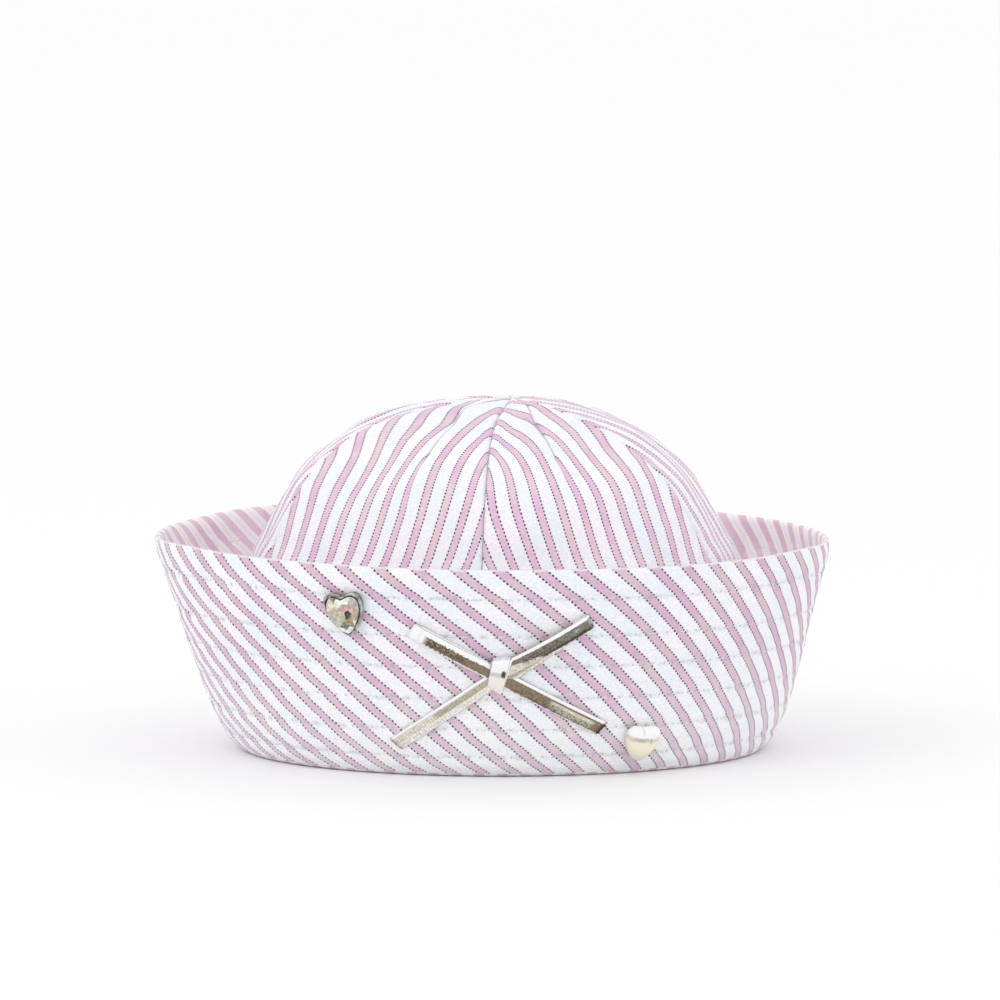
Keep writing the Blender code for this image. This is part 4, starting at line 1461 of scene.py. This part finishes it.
class CAP_OT_knot(bpy.types.Operator):
    """Wrap the strip once round the middle of the bow"""

    bl_idname = "cap.knot"
    bl_label = "Bow knot"

    def execute(self, context):
        deselect_all()
        bpy.ops.mesh.primitive_cube_add(size=1.0)
        knot = context.object
        knot.name = "bow_knot_wrap"
        bpy.ops.object.mode_set(mode="EDIT")
        bpy.ops.transform.resize(value=(KNOT_WIDTH, KNOT_LENGTH, KNOT_DEPTH), center_override=(0, 0, 0))
        bpy.ops.mesh.subdivide(number_cuts=7)
        self.pinch(knot, lambda co: abs(co.y / KNOT_LENGTH - 0.25) < 0.02, (0.96, 1.0, 0.88))
        self.pinch(knot, lambda co: co.y / KNOT_LENGTH < -0.3, (0.96, 1.0, 0.94))
        self.pinch(knot, lambda co: co.y / KNOT_LENGTH < -0.45, (0.96, 1.0, 0.80))
        self.pinch(knot, lambda co: co.y / KNOT_LENGTH > 0.45, (1.04, 1.0, 0.84))
        for row in KNOT_ROWS:
            wider = 1 + 0.25 * KNOT_FAN
            self.pinch(knot, lambda co: co.y > row * KNOT_LENGTH, (wider**0.5, 1.0, 1.0))
            self.pinch(knot, lambda co: co.y < -row * KNOT_LENGTH, (wider**-0.5, 1.0, 1.0))
            for column in KNOT_COLUMNS:
                side = column * KNOT_WIDTH
                self.lift(knot, lambda co: co.y > row * KNOT_LENGTH and co.x > side, KNOT_UPPER_LIFT)
                self.lift(knot, lambda co: co.y < -row * KNOT_LENGTH and co.x < side, KNOT_LOWER_LIFT)
        bpy.ops.object.mode_set(mode="OBJECT")
        smooth = knot.modifiers.new("smooth", "SUBSURF")
        smooth.levels = 2
        apply_modifiers(knot)
        over = 0.5 * KNOT_DEPTH + SEAT_GAP + KNOT_SPARE
        place = seat(KNOT_X, KNOT_HEIGHT, KNOT_TILT_DEGREES, over)
        knot.data.transform(place)
        knot.data.shade_smooth()
        knot.data.materials.append(knot_material(context.scene.cap_bow, place))
        claim(knot, "silver_strip", "bow_knot")
        return {"FINISHED"}

    def choose(self, knot, is_chosen):
        """Select the points of the knot that a test on their place picks."""
        bpy.ops.mesh.select_all(action="DESELECT")
        bpy.ops.object.mode_set(mode="OBJECT")
        for vertex in knot.data.vertices:
            vertex.select = bool(is_chosen(vertex.co))
        bpy.ops.object.mode_set(mode="EDIT")

    def pinch(self, knot, is_chosen, scale):
        """Scale a part of the knot."""
        self.choose(knot, is_chosen)
        bpy.ops.transform.resize(value=scale, center_override=(0, 0, 0))

    def lift(self, knot, is_chosen, rise):
        """Move a part of the knot up."""
        self.choose(knot, is_chosen)
        bpy.ops.transform.translate(value=(0, rise, 0))


def knot_material(settings, place):
    """The knot's foil with painted reflections: bright above its fold, cream below, and dark in the fold,
    where painted shade greys it.
    """
    material, tree, shader = new_material("foil_knot", metallic=1.0, roughness=0.22)
    vector, right, up, _ = local_place(tree, place)
    crumple = minus(tree, noise(tree, vector, 1.6, 4.0), 0.5)
    level = plus(tree, up, times(tree, crumple, 1.2))
    colour = mixed(tree, mapped(tree, level, 1.2, 0.6), rgba(settings.silver), rgba(settings.ivory))
    # Painted shade: the fold is greyed on its left part
    fold = times(tree, window(tree, level, 0.7, 2.2, 0.3), window(tree, right, -4.0, 0.9, 0.4))
    colour = mixed(tree, times(tree, fold, 0.75), colour, rgba(settings.pale))
    blob = times(tree, window(tree, right, 0.9, 2.5, 0.35), window(tree, level, 0.8, 3.2, 0.4))
    colour = mixed(tree, blob, colour, rgba(settings.bronze))
    edge = window(tree, right, 2.75, 2.95, 0.12)
    rim = maths(tree, "MAXIMUM", edge, mapped(tree, right, -2.8, -3.2))
    colour = mixed(tree, times(tree, rim, 0.7), colour, rgba(settings.line))
    tree.links.new(colour, shader.inputs["Base Color"])
    bump(tree, shader, crumple, settings.creases, 0.6)
    return material


# Heart studs


def heart_plate(name, width, length, softness):
    """A flat heart, tip down and centred: a disc whose sides are raised by their distance out.

    The softer it is, the blunter are its tip and its notch.
    """
    deselect_all()
    bpy.ops.mesh.primitive_circle_add(vertices=HEART_POINTS, radius=1.0, fill_type="NGON")
    heart = bpy.context.object
    heart.name = name
    places = [vertex.co for vertex in heart.data.vertices]
    raised = [place.y + HEART_LOBE_RISE * math.hypot(place.x, softness) for place in places]
    stretch = length / (max(raised) - min(raised))
    middle = 0.5 * (max(raised) + min(raised))
    for vertex, rise in zip(heart.data.vertices, raised):
        vertex.co = (0.5 * width * vertex.co.x, stretch * (rise - middle), 0.0)
    return heart


def raise_levels(levels, first_scale=1.0):
    """Extrude a plate's face outwards through levels of scale and depth."""
    bpy.ops.object.mode_set(mode="EDIT")
    bpy.ops.mesh.select_all(action="SELECT")
    depth, scale = 0.0, first_scale
    if first_scale != 1.0:
        bpy.ops.transform.resize(value=(first_scale, first_scale, 1.0), center_override=(0, 0, 0))
    for level in levels:
        bpy.ops.mesh.extrude_region_move(TRANSFORM_OT_translate={"value": (0, 0, level.depth - depth)})
        share = level.scale / scale
        bpy.ops.transform.resize(value=(share, share, 1.0), center_override=(0, 0, level.depth))
        depth, scale = level.depth, level.scale
    bpy.ops.object.mode_set(mode="OBJECT")


def finish_stud(stud, place, material, slot, node, smooth_degrees):
    """Set a stud on the wall, with its finish."""
    bpy.ops.object.shade_smooth_by_angle(angle=math.radians(smooth_degrees))
    stud.data.transform(place)
    stud.data.materials.append(material)
    claim(stud, slot, node)


def facet_normal(facet):
    """The outward direction of the stone's dome where a facet touches it."""
    slope = 2 * STONE_ROUNDING
    return Vector((slope * facet.right, slope * facet.up, 1.0)).normalized()


class CAP_OT_crystal(bpy.types.Operator):
    """Cut the crystal heart and turn its metal cup"""

    bl_idname = "cap.crystal"
    bl_label = "Crystal heart and cup"

    def execute(self, context):
        settings = context.scene.cap_studs
        place = seat(CRYSTAL_X, CRYSTAL_HEIGHT, CRYSTAL_TILT_DEGREES, STUD_GAP)
        cup = heart_plate("crystal_cup", CRYSTAL_WIDTH, CRYSTAL_LENGTH, CRYSTAL_SOFTNESS)
        raise_levels([Level(scale, depth * MM) for scale, depth in CUP_LEVELS], CUP_FOOT_SCALE)
        finish_stud(cup, place, cup_material(settings, place), "setting_metal", "crystal_setting", 30)
        self.cut_stone(place)
        return {"FINISHED"}

    def cut_stone(self, place):
        """A heart-shaped block whose front is cut down to flat facets that touch a low dome."""
        share = 1 - 2 * (CUP_WALL + STONE_ROOM) / CRYSTAL_WIDTH
        width, length = CRYSTAL_WIDTH * share, CRYSTAL_LENGTH * share
        stone = heart_plate("crystal_stone", width, length, CRYSTAL_SOFTNESS)
        base = CUP_BASE + SEAT_GAP
        top = CRYSTAL_DEPTH + STONE_SPARE
        raise_levels((Level(1.0, CUP_DEPTH - base), Level(1.0, top - base)), STONE_FOOT_SCALE)
        bpy.ops.object.mode_set(mode="EDIT")
        for facet in FACETS:
            fall = STONE_ROUNDING * (facet.right**2 + facet.up**2) * MM
            bpy.ops.mesh.select_all(action="SELECT")
            bpy.ops.mesh.bisect(
                plane_co=(facet.right * MM, facet.up * MM, CRYSTAL_DEPTH - base - fall),
                plane_no=facet_normal(facet),
                use_fill=True,
                clear_outer=True,
            )
        bpy.ops.object.mode_set(mode="OBJECT")
        self.colour_facets(stone.data)
        lifted = place @ Matrix.Translation((0, 0, base))
        finish_stud(stone, lifted, stone_material(place), "crystal", "crystal_heart", 2)

    def colour_facets(self, mesh):
        """Store on each facet the colour that it mirrors."""
        normals = [facet_normal(facet) for facet in FACETS]
        colours = mesh.attributes.new("facet_colour", "FLOAT_COLOR", "CORNER").data
        for face in mesh.polygons:
            match = max(range(len(FACETS)), key=lambda index: face.normal.dot(normals[index]))
            is_facet = face.normal.dot(normals[match]) > FACET_MATCH
            colour = FACETS[match].colour if is_facet else STONE_SIDE_COLOUR
            for corner in face.loop_indices:
                colours[corner].color = (*colour, 1.0)


def cup_material(settings, place):
    """Bright grey metal with a soft cloudy tone and a painted highlight round its wall."""
    material, tree, shader = new_material("stud_cup_metal", metallic=1.0, roughness=0.32)
    vector, _, _, out = local_place(tree, place)
    cloud = mapped(tree, noise(tree, vector, 0.45, 3.0), 0.38, 0.62)
    colour = mixed(tree, cloud, rgba(settings.cup, 0.4), rgba(settings.cup, 1.2))
    # Painted highlight: a bright band round the cup's wall, below its lip
    lit = times(tree, window(tree, out, 1.75, 2.2, 0.15), 0.85)
    colour = mixed(tree, lit, colour, rgba(settings.cup, 2.2))
    tree.links.new(colour, shader.inputs["Base Color"])
    return material


def stone_material(place):
    """Foil-backed cut glass: each facet mirrors its own colour, with paler and darker streaks."""
    material, tree, shader = new_material(
        "cut_stone", roughness=0.15, specular_ior_level=0.12, coat_weight=0.06, coat_roughness=0.03
    )
    vector = local_place(tree, place)[0]
    attribute = tree.nodes.new("ShaderNodeAttribute")
    attribute.attribute_name = "facet_colour"
    streak = mapped(tree, noise(tree, vector, 0.9, 3.0), 0.35, 0.7, 0.0, 1.0)
    darker = add_mix(tree, "MULTIPLY", 1.0, attribute.outputs["Color"], (0.72, 0.76, 0.70, 1.0))
    lighter = add_mix(tree, "SCREEN", 0.22, attribute.outputs["Color"], (1.0, 0.97, 0.92, 1.0))
    tree.links.new(mixed(tree, streak, darker, lighter), shader.inputs["Base Color"])
    return material


def add_mix(tree, blend, share, first, second):
    """Two colours blended in a named way."""
    result = mixed(tree, share, first, second)
    result.node.blend_type = blend
    return result


class CAP_OT_pearl(bpy.types.Operator):
    """Puff up the pearl heart"""

    bl_idname = "cap.pearl"
    bl_label = "Pearl heart"

    def execute(self, context):
        place = seat(PEARL_X, PEARL_HEIGHT, PEARL_TILT_DEGREES, STUD_GAP)
        pearl = heart_plate("pearl_puff", PEARL_WIDTH, PEARL_LENGTH, PEARL_SOFTNESS)
        levels = [Level(scale, depth * PEARL_DEPTH) for scale, depth in PEARL_LEVELS]
        raise_levels(levels, PEARL_FOOT_SCALE)
        material = pearl_material(context.scene.cap_studs, place)
        finish_stud(pearl, place, material, "pearl", "pearl_heart", 60)
        return {"FINISHED"}


def pearl_material(settings, place):
    """Pearl coat: a painted highlight above, warm cream below and darker towards the bottom, and painted
    shade grey in its creases.
    """
    material, tree, shader = new_material(
        "pearl_coat", roughness=0.28, specular_ior_level=0.6, coat_weight=0.5, coat_roughness=0.15
    )
    vector, right, up, _ = local_place(tree, place)
    cloud = minus(tree, noise(tree, vector, 0.35, 3.0), 0.5)
    level = plus(tree, up, times(tree, cloud, 1.6))
    # Painted shade: the warm cream is darker towards the bottom
    lower = mapped(tree, up, 0.0, -6.0)
    warm = mixed(tree, lower, rgba(settings.pearl_warm, 1.08), rgba(settings.pearl_warm, 0.88))
    colour = mixed(tree, mapped(tree, level, 2.9, 3.9), warm, rgba(settings.pearl_highlight))
    # Painted shade in the creases, the hook and the notch
    deep = mapped(tree, maths(tree, "ABSOLUTE", plus(tree, right, 2.2)), 4.0, 0.5, 0.5, 1.0)
    crease = times(tree, window(tree, level, 2.3, 3.8, 0.5), window(tree, right, -7.5, 5.2, 1.0), deep)
    hook = times(tree, window(tree, up, 1.9, 3.8, 0.5), window(tree, right, 1.3, 2.3, 0.4))
    notch = times(tree, window(tree, right, -1.7, -1.1, 0.3), window(tree, up, 5.0, 6.6, 0.5))
    shade = maths(tree, "MAXIMUM", maths(tree, "MAXIMUM", crease, hook), times(tree, notch, 0.6))
    colour = mixed(tree, times(tree, shade, 0.75), colour, rgba(settings.pearl_shade))
    tree.links.new(colour, shader.inputs["Base Color"])
    bump(tree, shader, times(tree, shade, -1.0), 0.25 * MM, 0.6)
    return material


# Stage


class CAP_OT_stage(bpy.types.Operator):
    """Set up the plain floor, the soft light and the camera"""

    bl_idname = "cap.stage"
    bl_label = "Studio"

    def execute(self, context):
        settings = context.scene.cap_stage
        self.add_floor(settings)
        self.add_lights(context, settings)
        self.add_camera(context, settings)
        return {"FINISHED"}

    def add_floor(self, settings):
        """A plain pale floor."""
        deselect_all()
        bpy.ops.mesh.primitive_plane_add(size=settings.floor_side, location=(0, 0, FLOOR_HEIGHT))
        floor = bpy.context.object
        floor.name = "floor"
        bpy.ops.object.transform_apply(location=True, rotation=True, scale=True)
        material, _, shader = new_material("pale_floor", roughness=0.9, specular_ior_level=0.1)
        shader.inputs["Base Color"].default_value = rgba(settings.floor)
        floor.data.materials.append(material)

    def add_lights(self, context, settings):
        """Soft light from all round, with one large lamp at the upper left."""
        world = bpy.data.worlds.new("soft_room")
        world.use_nodes = True
        context.scene.world = world
        background = world.node_tree.nodes["Background"]
        background.inputs["Color"].default_value = (1.0, 1.0, 1.0, 1.0)
        background.inputs["Strength"].default_value = settings.sky_strength
        bpy.ops.object.light_add(type="AREA", location=LAMP_PLACE)
        lamp = context.object
        lamp.name = "key_lamp"
        lamp.data.energy = settings.key_power
        lamp.data.size = LAMP_SIDE
        lamp.rotation_euler = (CAMERA_AIM - lamp.location).to_track_quat("-Z", "Y").to_euler()

    def add_camera(self, context, settings):
        """A long lens at the picture's angle, as far off as its scale needs."""
        view_width = PICTURE_SIDE_PIXELS * METRES_PER_PIXEL
        distance = settings.lens / SENSOR_WIDTH * view_width
        rise = math.radians(CAMERA_RISE_DEGREES)
        back = Vector((0.0, -math.cos(rise), math.sin(rise)))
        bpy.ops.object.camera_add(location=CAMERA_AIM + distance * back)
        camera = context.object
        camera.name = "camera"
        camera.rotation_euler = (-back).to_track_quat("-Z", "Y").to_euler()
        camera.data.lens = settings.lens
        camera.data.sensor_width = SENSOR_WIDTH
        camera.data.clip_end = FARTHEST_SEEN
        context.scene.camera = camera
        context.scene.view_settings.view_transform = "Standard"


class CAP_PT_panel(bpy.types.Panel):
    """The cap's settings and the buttons that make its pieces"""

    bl_idname = "CAP_PT_panel"
    bl_label = "Sailor Cap"
    bl_space_type = "VIEW_3D"
    bl_region_type = "UI"
    bl_category = "Sailor Cap"

    def draw(self, context):
        layout = self.layout
        for name in SETTINGS:
            settings = getattr(context.scene, name)
            box = layout.box()
            for field in type(settings).__annotations__:
                box.prop(settings, field)
        for operator in OPERATORS:
            layout.operator(operator.bl_idname)


SETTINGS = {
    "cap_cloth": CapClothSettings,
    "cap_bow": CapBowSettings,
    "cap_studs": CapStudSettings,
    "cap_stage": CapStageSettings,
}
OPERATORS = (
    CAP_OT_cuff,
    CAP_OT_stitches,
    CAP_OT_crown,
    CAP_OT_bow,
    CAP_OT_knot,
    CAP_OT_crystal,
    CAP_OT_pearl,
    CAP_OT_stage,
)
CLASSES = tuple(SETTINGS.values()) + OPERATORS + (CAP_PT_panel,)


def register():
    """Register the classes and put the settings on the scene."""
    for made in CLASSES:
        bpy.utils.register_class(made)
    for name, kind in SETTINGS.items():
        setattr(bpy.types.Scene, name, PointerProperty(type=kind))


def unregister():
    """Take the settings and the classes away again."""
    for name in SETTINGS:
        delattr(bpy.types.Scene, name)
    for made in reversed(CLASSES):
        bpy.utils.unregister_class(made)


def main():
    """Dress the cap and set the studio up."""
    register()
    make_groups()
    bpy.ops.cap.cuff()
    bpy.ops.cap.stitches()
    bpy.ops.cap.crown()
    bpy.ops.cap.bow()
    bpy.ops.cap.knot()
    bpy.ops.cap.crystal()
    bpy.ops.cap.pearl()
    bpy.ops.cap.stage()


if __name__ == "__main__":
    main()
